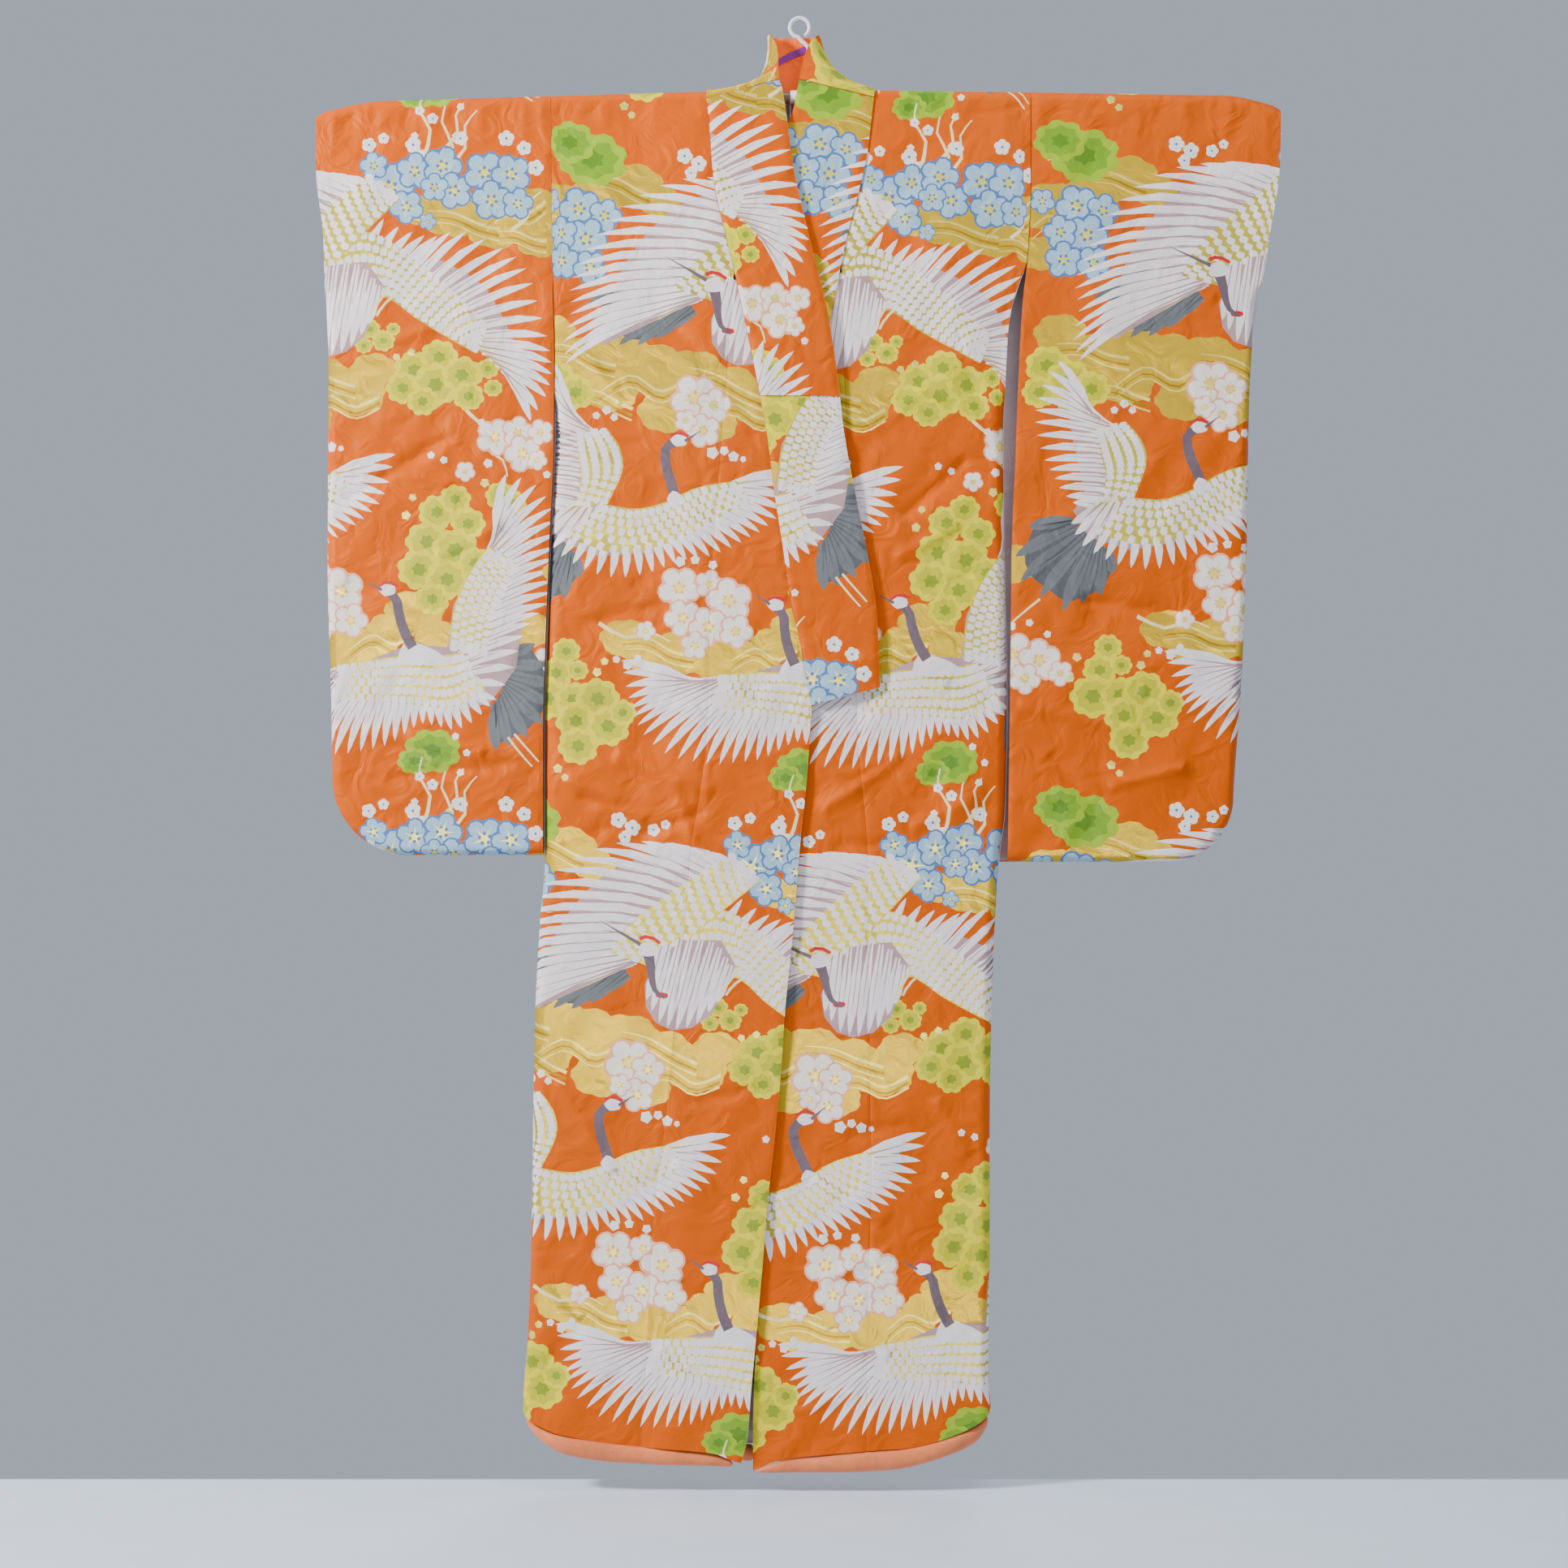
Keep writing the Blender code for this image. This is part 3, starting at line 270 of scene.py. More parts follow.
BACK_CREASES = (
    (-310, 980, -200, 1030, 9, 1.6), (-190, 900, -70, 950, 9, -1.3),
    (-120, 1060, -20, 1010, 9, 1.4), (30, 1040, 150, 1090, 9, 1.5),
    (60, 760, 180, 700, 9, -1.3), (120, 900, 230, 860, 9, 1.3),
    (-280, 620, -180, 680, 9, 1.2), (-330, 760, -240, 720, 8, -1.1),
    (-200, 420, -90, 480, 9, 1.2), (20, 420, 120, 380, 9, 1.1),
    (150, 540, 240, 600, 9, -1.1), (-340, 1200, -240, 1260, 9, 1.4),
    (-180, 1300, -60, 1270, 9, -1.2), (20, 1180, 130, 1230, 9, 1.3),
    (140, 1420, 230, 1380, 9, 1.3), (-300, 1560, -180, 1620, 9, 1.5),
    (-100, 1640, 20, 1600, 9, -1.2), (60, 1700, 180, 1760, 9, 1.3),
    (-340, 1780, -220, 1740, 9, 1.2), (-160, 1820, -40, 1860, 9, -1.1),
    (-620, 420, -480, 470, 9, 1.3), (-560, 620, -420, 580, 9, -1.2),
    (-600, 760, -460, 800, 9, 1.3), (-520, 980, -380, 940, 9, 1.2),
    (-440, 330, -360, 400, 8, -1.0), (360, 420, 480, 380, 9, 1.2),
    (420, 560, 560, 600, 9, -1.2), (330, 740, 460, 700, 9, 1.3),
    (440, 900, 560, 950, 9, 1.3), (360, 1040, 480, 1010, 8, -1.1))

# Gathers below the shoulder fold; columns: x, length, half width, height
GATHERS = (
    (-628, 70, 7, 1.2), (-607, 96, 9, -1.4), (-585, 60, 6, 1.0), (-560, 84, 9, 1.2),
    (-528, 58, 7, -1.0), (-498, 92, 9, 1.3), (-466, 66, 7, -1.1), (-430, 82, 9, 1.1),
    (-404, 54, 6, -0.9), (-372, 90, 8, 1.2), (-348, 60, 6, 1.0), (-322, 74, 7, -1.1),
    (-296, 58, 7, 0.9), (-262, 86, 9, 1.1), (-230, 60, 7, -0.9), (-196, 76, 8, 1.0),
    (-160, 56, 7, -0.9), (122, 62, 7, 1.0), (150, 80, 8, -1.0), (182, 58, 7, 0.9),
    (214, 84, 9, 1.1), (246, 60, 7, -1.0), (276, 78, 8, 1.1), (300, 54, 6, -0.9),
    (326, 82, 8, 1.2), (352, 60, 6, -1.0), (384, 88, 9, 1.2), (418, 60, 7, -1.0),
    (452, 80, 9, 1.1), (486, 58, 7, -1.0), (520, 90, 9, 1.3), (548, 64, 7, -1.1),
    (578, 92, 9, 1.4), (602, 66, 7, -1.2), (628, 74, 7, 1.1))
GATHERS_END = 96.0

# Ripples that run all through the cloth; columns: wave length across, down, slant, height
RIPPLES = ((83, 210, 0.35, 0.34), (127, 96, -0.2, 0.3), (54, 148, 0.6, 0.2),
           (67, 58, -0.5, 0.16))
# their shift between front and back, and how they swell and fade along their run
SIDE_SHIFT, SWELL_LENGTH, SWELL_LEAST = 0.3, 2.3, 0.45

# How far a fold reaches to its sides and fades past its ends, in half widths, and where folds,
# ripples and gathers start below the shoulder and reach their full height
FOLD_REACH, FADE_BEYOND, FADE_WITHIN = 2.6, 0.4, 0.6
FOLDS_FROM, FOLDS_FULL = 15, 60
RIPPLES_FROM, RIPPLES_FULL = 10, 80
GATHERS_FROM, GATHERS_FULL = 4, 26

# Cloth shells and the flat net they are cut from
CREASE_SCALE = 2.3
EDGE_DROP_IN = 0.9
EDGE_REACH = 3.0
COLLAR_ROUND, COLLAR_ROUND_REACH = 1.6, 3.4
NET, NET_STEPS = 8.0, 12
PATCH = NET * NET_STEPS
HALF_DIAGONAL = 0.75
LINING_NET, LINING_BACK = 10.0, 1.5
EDGE_STEP = 8.0
EDGE_ROWS = (1.6, 4.2)
CORNER_STEPS = 18
MEET_FROM, MEET_ROUNDS = 500.0, 6
COLLAR_ROWS_EACH, COLLAR_END_STEPS = 9, 14
MERGE, POINTS_PER_MM = 0.001, 100
PROBE = 0.25
PURER = 1.3
SHARP_FROM = 50


class Line:
    """A smooth line through a table's rows that never overshoots them."""

    def __init__(self, rows, column=1, key=0):
        self.keys = [row[key] for row in rows]
        self.values = [row[column] for row in rows]
        spans = [b - a for a, b in zip(self.keys, self.keys[1:])]
        slopes = [(b - a) / span
                  for a, b, span in zip(self.values, self.values[1:], spans)]
        self.tangents = [slopes[0]]
        for before, after in zip(slopes, slopes[1:]):
            same = before * after > 0
            self.tangents.append(2 * before * after / (before + after) if same else 0.0)
        self.tangents.append(slopes[-1])

    def __call__(self, key):
        key = min(max(key, self.keys[0]), self.keys[-1])
        start = min(max(bisect_right(self.keys, key) - 1, 0), len(self.keys) - 2)
        span = self.keys[start + 1] - self.keys[start]
        t = (key - self.keys[start]) / span
        low, high = self.values[start], self.values[start + 1]
        bend_low, bend_high = self.tangents[start] * span, self.tangents[start + 1] * span
        return (low * (1 + 2 * t) * (1 - t) ** 2 + bend_low * t * (1 - t) ** 2
                + high * t * t * (3 - 2 * t) + bend_high * t * t * (t - 1))


BODY_HALF, SLEEVE_HALF = Line(BODY_DEPTH), Line(SLEEVE_DEPTH)
LEFT_SIDE_X, RIGHT_SIDE_X = Line(LEFT_SIDE), Line(RIGHT_SIDE)
LEFT_GORE_X, RIGHT_GORE_X = Line(LEFT_GORE_SEAM), Line(RIGHT_GORE_SEAM)
LEFT_EDGE_X, RIGHT_EDGE_X = Line(LEFT_FRONT_EDGE), Line(RIGHT_FRONT_EDGE)
LEFT_CUFF_X, RIGHT_CUFF_X = Line(LEFT_CUFF_EDGE), Line(RIGHT_CUFF_EDGE)
RIGHT_INNER_X, CENTRE_X = Line(RIGHT_SLEEVE_INNER_EDGE), Line(CENTRE_BACK)
LEFT_HEM_DROP, RIGHT_HEM_DROP, BACK_HEM_DROP = Line(LEFT_HEM), Line(RIGHT_HEM), Line(BACK_HEM)
LEFT_COLLAR_X, RIGHT_COLLAR_X = Line(LEFT_COLLAR, 0, 1), Line(RIGHT_COLLAR, 0, 1)


def mix(low, high, t):
    return low + (high - low) * t


def between(a, b, t):
    """The point part of the way from one flat point to another."""
    return mix(a[0], b[0], t), mix(a[1], b[1], t)


def ease(value, low, high):
    """0 below low, 1 above high, smooth between."""
    t = min(max((value - low) / (high - low), 0.0), 1.0)
    return t * t * (3 - 2 * t)


def along(points, t):
    """A point, or a whole table row, on a smooth curve through the given ones, t 0 to 1."""
    last = len(points) - 1
    place = min(max(t, 0.0), 1.0) * last
    start = min(int(place), last - 1)
    t = place - start
    four = [points[min(max(start + k, 0), last)] for k in (-1, 0, 1, 2)]
    return tuple(0.5 * (2 * b + (c - a) * t + (2 * a - 5 * b + 4 * c - d) * t * t
                        + (3 * b - a - 3 * c + d) * t ** 3) for a, b, c, d in zip(*four))


def row_at(rows, place):
    """A table's row, or one between two rows."""
    return along(rows, place / (len(rows) - 1))


def shoulder(x):
    """Drop of the shoulder line: the rod's fall, and the sag past its ends."""
    if x < 0:
        fall, start, length = LEFT_ARM_FALL, LEFT_SAG_FROM, LEFT_SAG_LENGTH
    else:
        fall, start, length = RIGHT_ARM_FALL, RIGHT_SAG_FROM, RIGHT_SAG_LENGTH
    past = max(abs(x) - start, 0.0) / length
    return SHOULDER_DROP + fall * abs(x) + TIP_SAG * past ** 1.5


def prepared(folds):
    """Folds with their run worked out once; the last number bounds where each reaches."""
    ready = []
    for x0, drop0, x1, drop1, width, height in folds:
        length = math.hypot(x1 - x0, drop1 - drop0)
        ready.append((x0, drop0, (x1 - x0) / length, (drop1 - drop0) / length, length, width,
                      height, FOLD_REACH * width))
    return ready


FOLDS = {FRONT: prepared(FRONT_FOLDS), BACK: prepared(BACK_FOLDS)}
CREASES = {FRONT: prepared(FRONT_CREASES), BACK: prepared(BACK_CREASES)}
NEARBY = {}


def nearby(side, x, drop):
    """The folds and creases that reach a place, kept for each square of the cloth."""
    square = (side, x // PATCH, drop // PATCH)
    if square not in NEARBY:
        middle_x, middle_drop = (square[1] + 0.5) * PATCH, (square[2] + 0.5) * PATCH
        found = []
        for folds in (FOLDS[side], CREASES[side]):
            near = []
            for fold in folds:
                away_x, away_drop = middle_x - fold[0], middle_drop - fold[1]
                on = min(max(away_x * fold[2] + away_drop * fold[3], 0.0), fold[4])
                away = math.hypot(away_x - fold[2] * on, away_drop - fold[3] * on)
                if away < fold[7] + PATCH * HALF_DIAGONAL:
                    near.append(fold)
            found.append(near)
        NEARBY[square] = found
    return NEARBY[square]


def fold_height(folds, x, drop):
    """Sum of the folds at a place: each a soft ridge or trough that fades at its ends."""
    total = 0.0
    for x0, drop0, run_x, run_drop, length, width, height, reach in folds:
        across = (x - x0) * run_drop - (drop - drop0) * run_x
        if abs(across) > reach:
            continue
        along_it = (x - x0) * run_x + (drop - drop0) * run_drop
        beyond, within = -FADE_BEYOND * width, FADE_WITHIN * width
        fade = ease(along_it, beyond, within) * ease(length - along_it, beyond, within)
        if fade:
            total += height * fade * math.exp(-(across / width) ** 2)
    return total


def gathers(x, below):
    """Short puckers that hang from the shoulder fold and fade out below it."""
    if below > GATHERS_END:
        return 0.0
    total = 0.0
    for middle, length, width, height in GATHERS:
        away = abs(x - middle)
        if away < FOLD_REACH * width and below < length:
            total += height * math.exp(-(away / width) ** 2) * ease(length - below, 0, length)
    return total * ease(below, GATHERS_FROM, GATHERS_FULL)


def ripples(x, drop, side):
    """Low waves all through the cloth, different on front and back."""
    total = 0.0
    for across, down, slant, height in RIPPLES:
        phase = 2 * math.pi * ((x + slant * drop) / across + drop / down * 0.5
                               + side * SIDE_SHIFT)
        swell = math.sin(2 * math.pi * (drop - slant * x) / (down * SWELL_LENGTH) + across)
        total += height * math.sin(phase) * (SWELL_LEAST + (1 - SWELL_LEAST) * swell)
    return total


def half_depth(x, drop, side):
    """Distance of the cloth's outer face from the middle plane, creases included."""
    below = drop - shoulder(x)
    edge_distance = min(x - LEFT_SIDE_X(drop), RIGHT_SIDE_X(drop) - x)
    inward = ease(edge_distance, 0.0, SIDE_BLEND)
    depth = mix(SLEEVE_HALF(below), BODY_HALF(below), inward)
    folds, creases = nearby(side, x, drop)
    started = ease(below, FOLDS_FROM, FOLDS_FULL)
    depth += fold_height(folds, x, drop) * started
    strength = bpy.context.scene.kimono_cloth.crease_strength
    fine = fold_height(creases, x, drop) * started
    fine += ripples(x, drop, side) * ease(below, RIPPLES_FROM, RIPPLES_FULL)
    fine += gathers(x, below)
    return depth + fine * strength * CREASE_SCALE


def lap(x, drop):
    """How far the left front lies in front of the right one."""
    return (LAP_STEP * ease(x, LAP_FROM_X, LAP_FULL_X)
            * ease(drop, LAP_FROM_DROP, LAP_FULL_DROP))


def no_lap(x, drop):
    """The pieces that lie flat on the robe's own form."""
    return 0.0


def edge_dip(distance):
    """A sewn or turned edge sinks in, so that its seam reads as a fine furrow."""
    return EDGE_DROP_IN * math.exp(-(max(distance, 0.0) / EDGE_REACH) ** 2)


# Thread colours, as seen in daylight; columns: red, green, blue from 0 to 255, kind of thread
SATIN, SILK, GOLD, LINING = 0, 1, 2, 3
THREADS = {
    "ground": (232, 92, 0, SATIN), "white": (240, 232, 232, SILK),
    "feather line": (176, 148, 150, SILK), "petal white": (246, 238, 230, SILK),
    "petal line": (236, 176, 150, SILK), "scale gold": (200, 184, 100, GOLD),
    "pale gold": (234, 222, 140, GOLD), "gold": (208, 176, 92, GOLD),
    "bright gold": (236, 218, 142, GOLD), "dark gold": (170, 136, 66, GOLD),
    "cream": (242, 226, 180, SILK), "lime": (220, 206, 24, SILK),
    "pine green": (190, 184, 22, SILK), "pine heart": (134, 148, 24, SILK),
    "moss rim": (150, 176, 48, SILK), "moss": (116, 152, 34, SILK),
    "moss heart": (88, 126, 30, SILK), "pale blue": (164, 190, 208, SILK),
    "blue": (136, 166, 192, SILK), "deep blue": (88, 116, 158, SILK),
    "grey": (100, 104, 106, SILK), "pale grey": (160, 164, 164, SILK),
    "dark grey": (80, 82, 86, SILK), "neck": (100, 86, 94, SILK),
    "crimson": (192, 46, 62, SILK), "lining": (196, 178, 180, LINING),
    "neck lining": (240, 120, 30, LINING),
}
CHART_STEP = 1.1
FEATHER_WIDTH, RAY_WIDTH = 0.82, 2.0
PARTING_WIDTH, PARTED = 2.8, 0.82
REPEAT_HEIGHT = 815.0
REPEAT_WIDTH = 590.0

# Outlines from root to tip; columns: share of the length, share of the half width
FEATHER_FORM = ((0.4, 0.92), (0.74, 0.86), (0.92, 0.42))
TILE_FORM = ((0, 0.8), (0.6, 1), (0.92, 0.5), (0.92, -0.5), (0.6, -1), (0, -0.8))
FAN_STEPS, SCALE_STEPS = 14, 10
SCALE_WIDTH, SCALE_BACK = 0.82, 0.8
LOBE_FULLNESS = 0.7
# how far on a stroke's direction is read, as a share of its length
AHEAD = 0.02

# A blossom, in shares of its radius; one below the least size has no petals of its own
PETALS, PETAL_AT, PETAL_SIZE, LEAST_WITH_PETALS = 5, 0.56, 0.37, 11
STAMEN_LENGTH, STAMEN_WIDTH, HEART_SIZE = 0.6, 0.14, 0.2

# A clump of pine needles, from its rim in; columns: size, lobes, their depth, turn, corners
PINE_RINGS = ((1.0, 8, 0.14, 0.0, 3), (0.76, 8, 0.18, 0.2, 2), (0.36, 6, 0.3, 0.0, 2))

# A streak in a cloud: its strokes, and the line they follow
# columns: shift down, width, dye
STREAK_STROKES = ((0, 4.6, "bright gold"), (8, 3.6, "dark gold"), (14, 2.6, "bright gold"))
# columns: share of its run along x, along y, share of its swing
STREAK_LINE = ((-1, -1, 0), (-0.3, 0, -1), (0.4, 0, 0.5), (1, 1, 0))
STREAK_SWING, STREAK_START, STREAK_STEPS = 0.1, 1.2, 10

# A branch; columns of its line: share of its length, shift to its side
BRANCH_LINE = ((0, 0), (0.4, 0.1), (0.7, -0.06), (1, 0))
BRANCH_START, BRANCH_END, BRANCH_STEPS = 5, 1.5, 6

# Size of a large blossom's drawing against its figure's
BLOSSOM_SIZE = 0.92


def square_to(run):
    """A step of length 1 square to a run."""
    length = math.hypot(*run) or 1.0
    return -run[1] / length, run[0] / length


def blade(root, tip, width, bend=0.0, blunt=0.5):
    """A feather: broad past its middle, bent sideways, and pointed at its tip."""
    run = (tip[0] - root[0], tip[1] - root[1])
    across, length = square_to(run), math.hypot(*run)
    sides = ([], [])
    for share, wide in ((0.0, blunt),) + FEATHER_FORM:
        swing = bend * length * share * (1 - share) * 4
        middle = (root[0] + run[0] * share + across[0] * swing,
                  root[1] + run[1] * share + across[1] * swing)
        for number, sign in enumerate((1, -1)):
            half = sign * wide * width / 2
            sides[number].append((middle[0] + across[0] * half, middle[1] + across[1] * half))
    return sides[0] + [tip] + sides[1][::-1]


def sliver(root, tip, width):
    """A fine pointed stroke."""
    across = square_to((tip[0] - root[0], tip[1] - root[1]))
    half = (across[0] * width / 2, across[1] * width / 2)
    return [(root[0] + half[0], root[1] + half[1]), tip, (root[0] - half[0], root[1] - half[1])]


def tile(root, tip, width):
    """A small round-ended feather."""
    run = (tip[0] - root[0], tip[1] - root[1])
    across = [part * width / 2 for part in square_to(run)]
    return [(root[0] + run[0] * share + across[0] * wide,
             root[1] + run[1] * share + across[1] * wide) for share, wide in TILE_FORM]


def scallop(centre, radius, lobes, depth=0.16, turn=0.0, squash=1.0, corners=3):
    """A round outline of soft lobes: a clump of pine needles, a cloud or a flower."""
    points = []
    for number in range(lobes * corners):
        angle = 2 * math.pi * number / (lobes * corners)
        lobe = abs(math.sin(lobes * angle / 2)) ** LOBE_FULLNESS
        reach = radius * (1 - depth + depth * lobe)
        points.append((centre[0] + reach * math.cos(angle + turn),
                       centre[1] + reach * math.sin(angle + turn) * squash))
    return points


def fan(roots, tips, count, width, bend=0.0, dye="white", line="feather line", base=0.6,
        ray="pale gold", reach=0.5):
    """Feathers side by side from one curve to another, on a darker ground that parts them."""
    samples = [number / FAN_STEPS for number in range(FAN_STEPS + 1)]
    ground = [along(roots, t) for t in samples]
    ground += [between(along(roots, t), along(tips, t), base) for t in reversed(samples)]
    drawn = [(line, ground)] if base else []
    for number in range(count):
        t = number / (count - 1)
        root, tip = along(roots, t), along(tips, t)
        drawn.append((dye, blade(root, tip, width * FEATHER_WIDTH, bend)))
        if ray:
            drawn.append((ray, sliver(root, between(root, tip, reach), RAY_WIDTH)))
    for number in range(1, count if base else 1):
        t = (number - 0.5) / (count - 1)
        root, tip = along(roots, t), along(tips, t)
        drawn.append((line, sliver(root, between(root, tip, PARTED), PARTING_WIDTH)))
    return drawn


def scales(lead, trail, rows, count, size, dye="white", line="scale gold"):
    """Rows of small round feathers, laid like roof tiles from one curve back to another."""
    samples = [number / SCALE_STEPS for number in range(SCALE_STEPS + 1)]
    drawn = [(line, [along(lead, t) for t in samples]
              + [along(trail, t) for t in reversed(samples)])]
    for row in range(rows):
        share = 1 - (row + SCALE_BACK) / rows
        for number in range(count):
            t = (number + 0.5 * (row % 2)) / count
            a, b = along(lead, t), along(trail, t)
            root = between(a, b, share)
            run = math.hypot(b[0] - a[0], b[1] - a[1]) or 1.0
            tip = (root[0] + size * (b[0] - a[0]) / run, root[1] + size * (b[1] - a[1]) / run)
            drawn.append((dye, tile(root, tip, size * SCALE_WIDTH)))
    return drawn


def band(points, start, end, dye, count=7):
    """A tapering stroke along a curve: a branch, a neck, a leg or a streak in a cloud."""
    sides = ([], [])
    for number in range(count + 1):
        t = number / count
        here, ahead = along(points, t), along(points, min(t + AHEAD, 1.0))
        before = along(points, max(t - AHEAD, 0.0))
        half = mix(start, end, t) / 2
        across = [part * half for part in square_to((ahead[0] - before[0],
                                                     ahead[1] - before[1]))]
        sides[0].append((here[0] + across[0], here[1] + across[1]))
        sides[1].append((here[0] - across[0], here[1] - across[1]))
    return [(dye, sides[0] + sides[1][::-1])]


def blossom(centre, radius, petal, shade, heart, turn=0.0):
    """A five-petalled plum blossom with stamens."""
    drawn = [(shade, scallop(centre, radius, PETALS, 0.2, turn - math.pi / PETALS, 1.0, 5))]
    for number in range(PETALS if radius > LEAST_WITH_PETALS else 0):
        angle = turn + 2 * math.pi * number / PETALS
        middle, end = ((centre[0] + radius * share * math.cos(angle),
                        centre[1] + radius * share * math.sin(angle))
                       for share in (PETAL_AT, STAMEN_LENGTH))
        drawn.append((petal, scallop(middle, radius * PETAL_SIZE, 4, 0.04, angle, 1.0, 2)))
        drawn.append((heart, sliver(centre, end, radius * STAMEN_WIDTH)))
    drawn.append((heart, scallop(centre, radius * HEART_SIZE, 3, 0.2, turn, 1.0, 2)))
    return drawn


def pine(centre, radius, edge, middle, heart, turn=0.0, squash=0.92):
    """A clump of pine needles: lobed, bright at its rim and deep green at its heart."""
    return [(dye, scallop(centre, radius * size, lobes, depth, turn + more, squash, corners))
            for dye, (size, lobes, depth, more, corners) in zip((edge, middle, heart),
                                                                PINE_RINGS)]


def crane_bowed():
    """The crane that bows its head, its near wing swept down to the left."""
    drawn = fan([(-30, -6), (-28, 8), (-22, 26), (-16, 34)],
                [(-150, 36), (-142, 60), (-118, 80), (-92, 84), (-64, 74), (-44, 56)],
                7, 18, 0.03, "grey", "dark grey", 0.86, "dark grey", 0.8)
    drawn += fan([(50, 24), (78, 6), (112, 14), (150, 42), (190, 64), (230, 88), (262, 116)],
                 [(26, -54), (58, -80), (100, -78), (139, -60), (172, -52), (209, -58),
                  (258, -38), (288, -10), (302, 34), (314, 80), (318, 112), (312, 142), (292, 174)],
                 27, 13.5, -0.05)
    drawn += scales([(50, 34), (84, 26), (118, 24), (150, 48), (190, 72), (225, 92)],
                    [(40, -46), (82, -60), (126, -42), (162, -12), (198, 20), (238, 62)],
                    6, 22, 11)
    drawn += fan([(120, -94), (98, -84), (68, -58), (38, -26), (10, 4), (-14, 20)],
                 [(64, -126), (8, -132), (-54, -124), (-107, -96), (-140, -58), (-162, -18),
                  (-172, 18), (-168, 48), (-174, 84), (-168, 112)],
                 20, 14, 0.07, base=0.72, reach=0.42)
    drawn += scales([(132, -98), (110, -76), (76, -42), (44, -8), (12, 22)],
                    [(94, -124), (56, -98), (18, -66), (-22, -28), (-42, 8)],
                    6, 14, 11)
    drawn.append(("feather line", [(4, 42), (8, 70), (22, 88), (42, 95), (66, 90), (88, 72),
                                   (102, 40), (112, 8), (92, -20), (46, -16), (18, 8)]))
    drawn += fan([(20, -6), (50, -18), (84, -16), (106, 8)],
                 [(8, 62), (26, 88), (48, 94), (72, 84), (94, 56)], 9, 15, 0.0, base=0,
                 ray="feather line", reach=0.8)
    drawn += band([(96, 44), (106, 30), (116, 14)], 3, 3, "cream", 3)
    drawn += band([(104, 46), (111, 34), (124, 22)], 3, 3, "cream", 3)
    drawn.append(("crimson", scallop((26, 54), 9, 4, 0.1, 0, 0.45, 2)))
    drawn += band([(4, 4), (9, 20), (12, 36), (18, 50), (30, 57)], 14, 3, "neck")
    drawn.append(("white", scallop((4, 0), 13, 5, 0.1, 0, 0.72, 2)))
    drawn += band([(-8, -12), (4, -16), (18, -9)], 5, 4, "crimson", 3)
    drawn.append(("neck", sliver((-6, -5), (-62, -31), 5)))
    return drawn


def crane_rising():
    """The crane that looks up to the right with both wings raised."""
    drawn = fan([(-150, 104), (-132, 118), (-120, 130), (-108, 140)],
                [(-204, 112), (-220, 148), (-214, 178), (-190, 198), (-162, 216), (-138, 206),
                 (-116, 196), (-100, 168)],
                8, 21, 0.03, "grey", "dark grey", 0.86, "dark grey", 0.8)
    drawn += band([(-190, 200), (-210, 216), (-228, 232)], 3, 2, "cream", 3)
    drawn.append(("feather line", [(-150, 92), (-118, 56), (-118, 4), (-88, -12), (-70, 6),
                                   (-64, 40), (-78, 76), (-26, 80), (6, 64), (60, 40), (84, 60),
                                   (60, 100), (-10, 128), (-80, 140), (-130, 124)]))
    drawn += fan([(-104, 92), (-92, 72), (-86, 50), (-82, 30), (-84, 10), (-94, -6), (-112, -18),
                  (-128, -28)],
                 [(-150, 82), (-164, 68), (-174, 50), (-184, 32), (-192, 8), (-196, -18),
                  (-194, -42), (-185, -68), (-168, -92)],
                 14, 13, 0.06, reach=0.45)
    drawn += fan([(-116, 82), (-88, 80), (-60, 80), (-34, 80), (-10, 74), (14, 60), (40, 46),
                  (70, 38)],
                 [(-152, 108), (-140, 134), (-114, 150), (-86, 161), (-54, 164), (-22, 157),
                  (4, 145), (28, 134), (54, 128), (78, 116), (99, 102), (118, 88), (135, 70),
                  (145, 44), (152, 12)],
                 27, 14, -0.04, base=0.66, reach=0.55)
    drawn += scales([(-84, -16), (-66, 6), (-60, 34), (-74, 74)],
                    [(-120, -4), (-116, 22), (-110, 50), (-114, 84)], 4, 13, 10)
    drawn += scales([(-78, 76), (-40, 78), (-4, 66), (34, 44), (80, 32)],
                    [(-122, 120), (-56, 134), (8, 114), (54, 86), (98, 54)], 5, 18, 11)
    drawn += band([(8, 62), (2, 46), (-8, 22), (-10, 0), (2, -8)], 13, 11, "neck")
    drawn.append(("white", scallop((6, 62), 9, 5, 0.1, 0, 1.2, 2)))
    drawn.append(("white", scallop((5, -10), 11, 5, 0.1, 0, 0.7, 2)))
    drawn += band([(-6, -15), (4, -20), (16, -16)], 3, 4, "crimson", 3)
    drawn.append(("neck", sliver((12, -10), (32, -26), 4)))
    return drawn


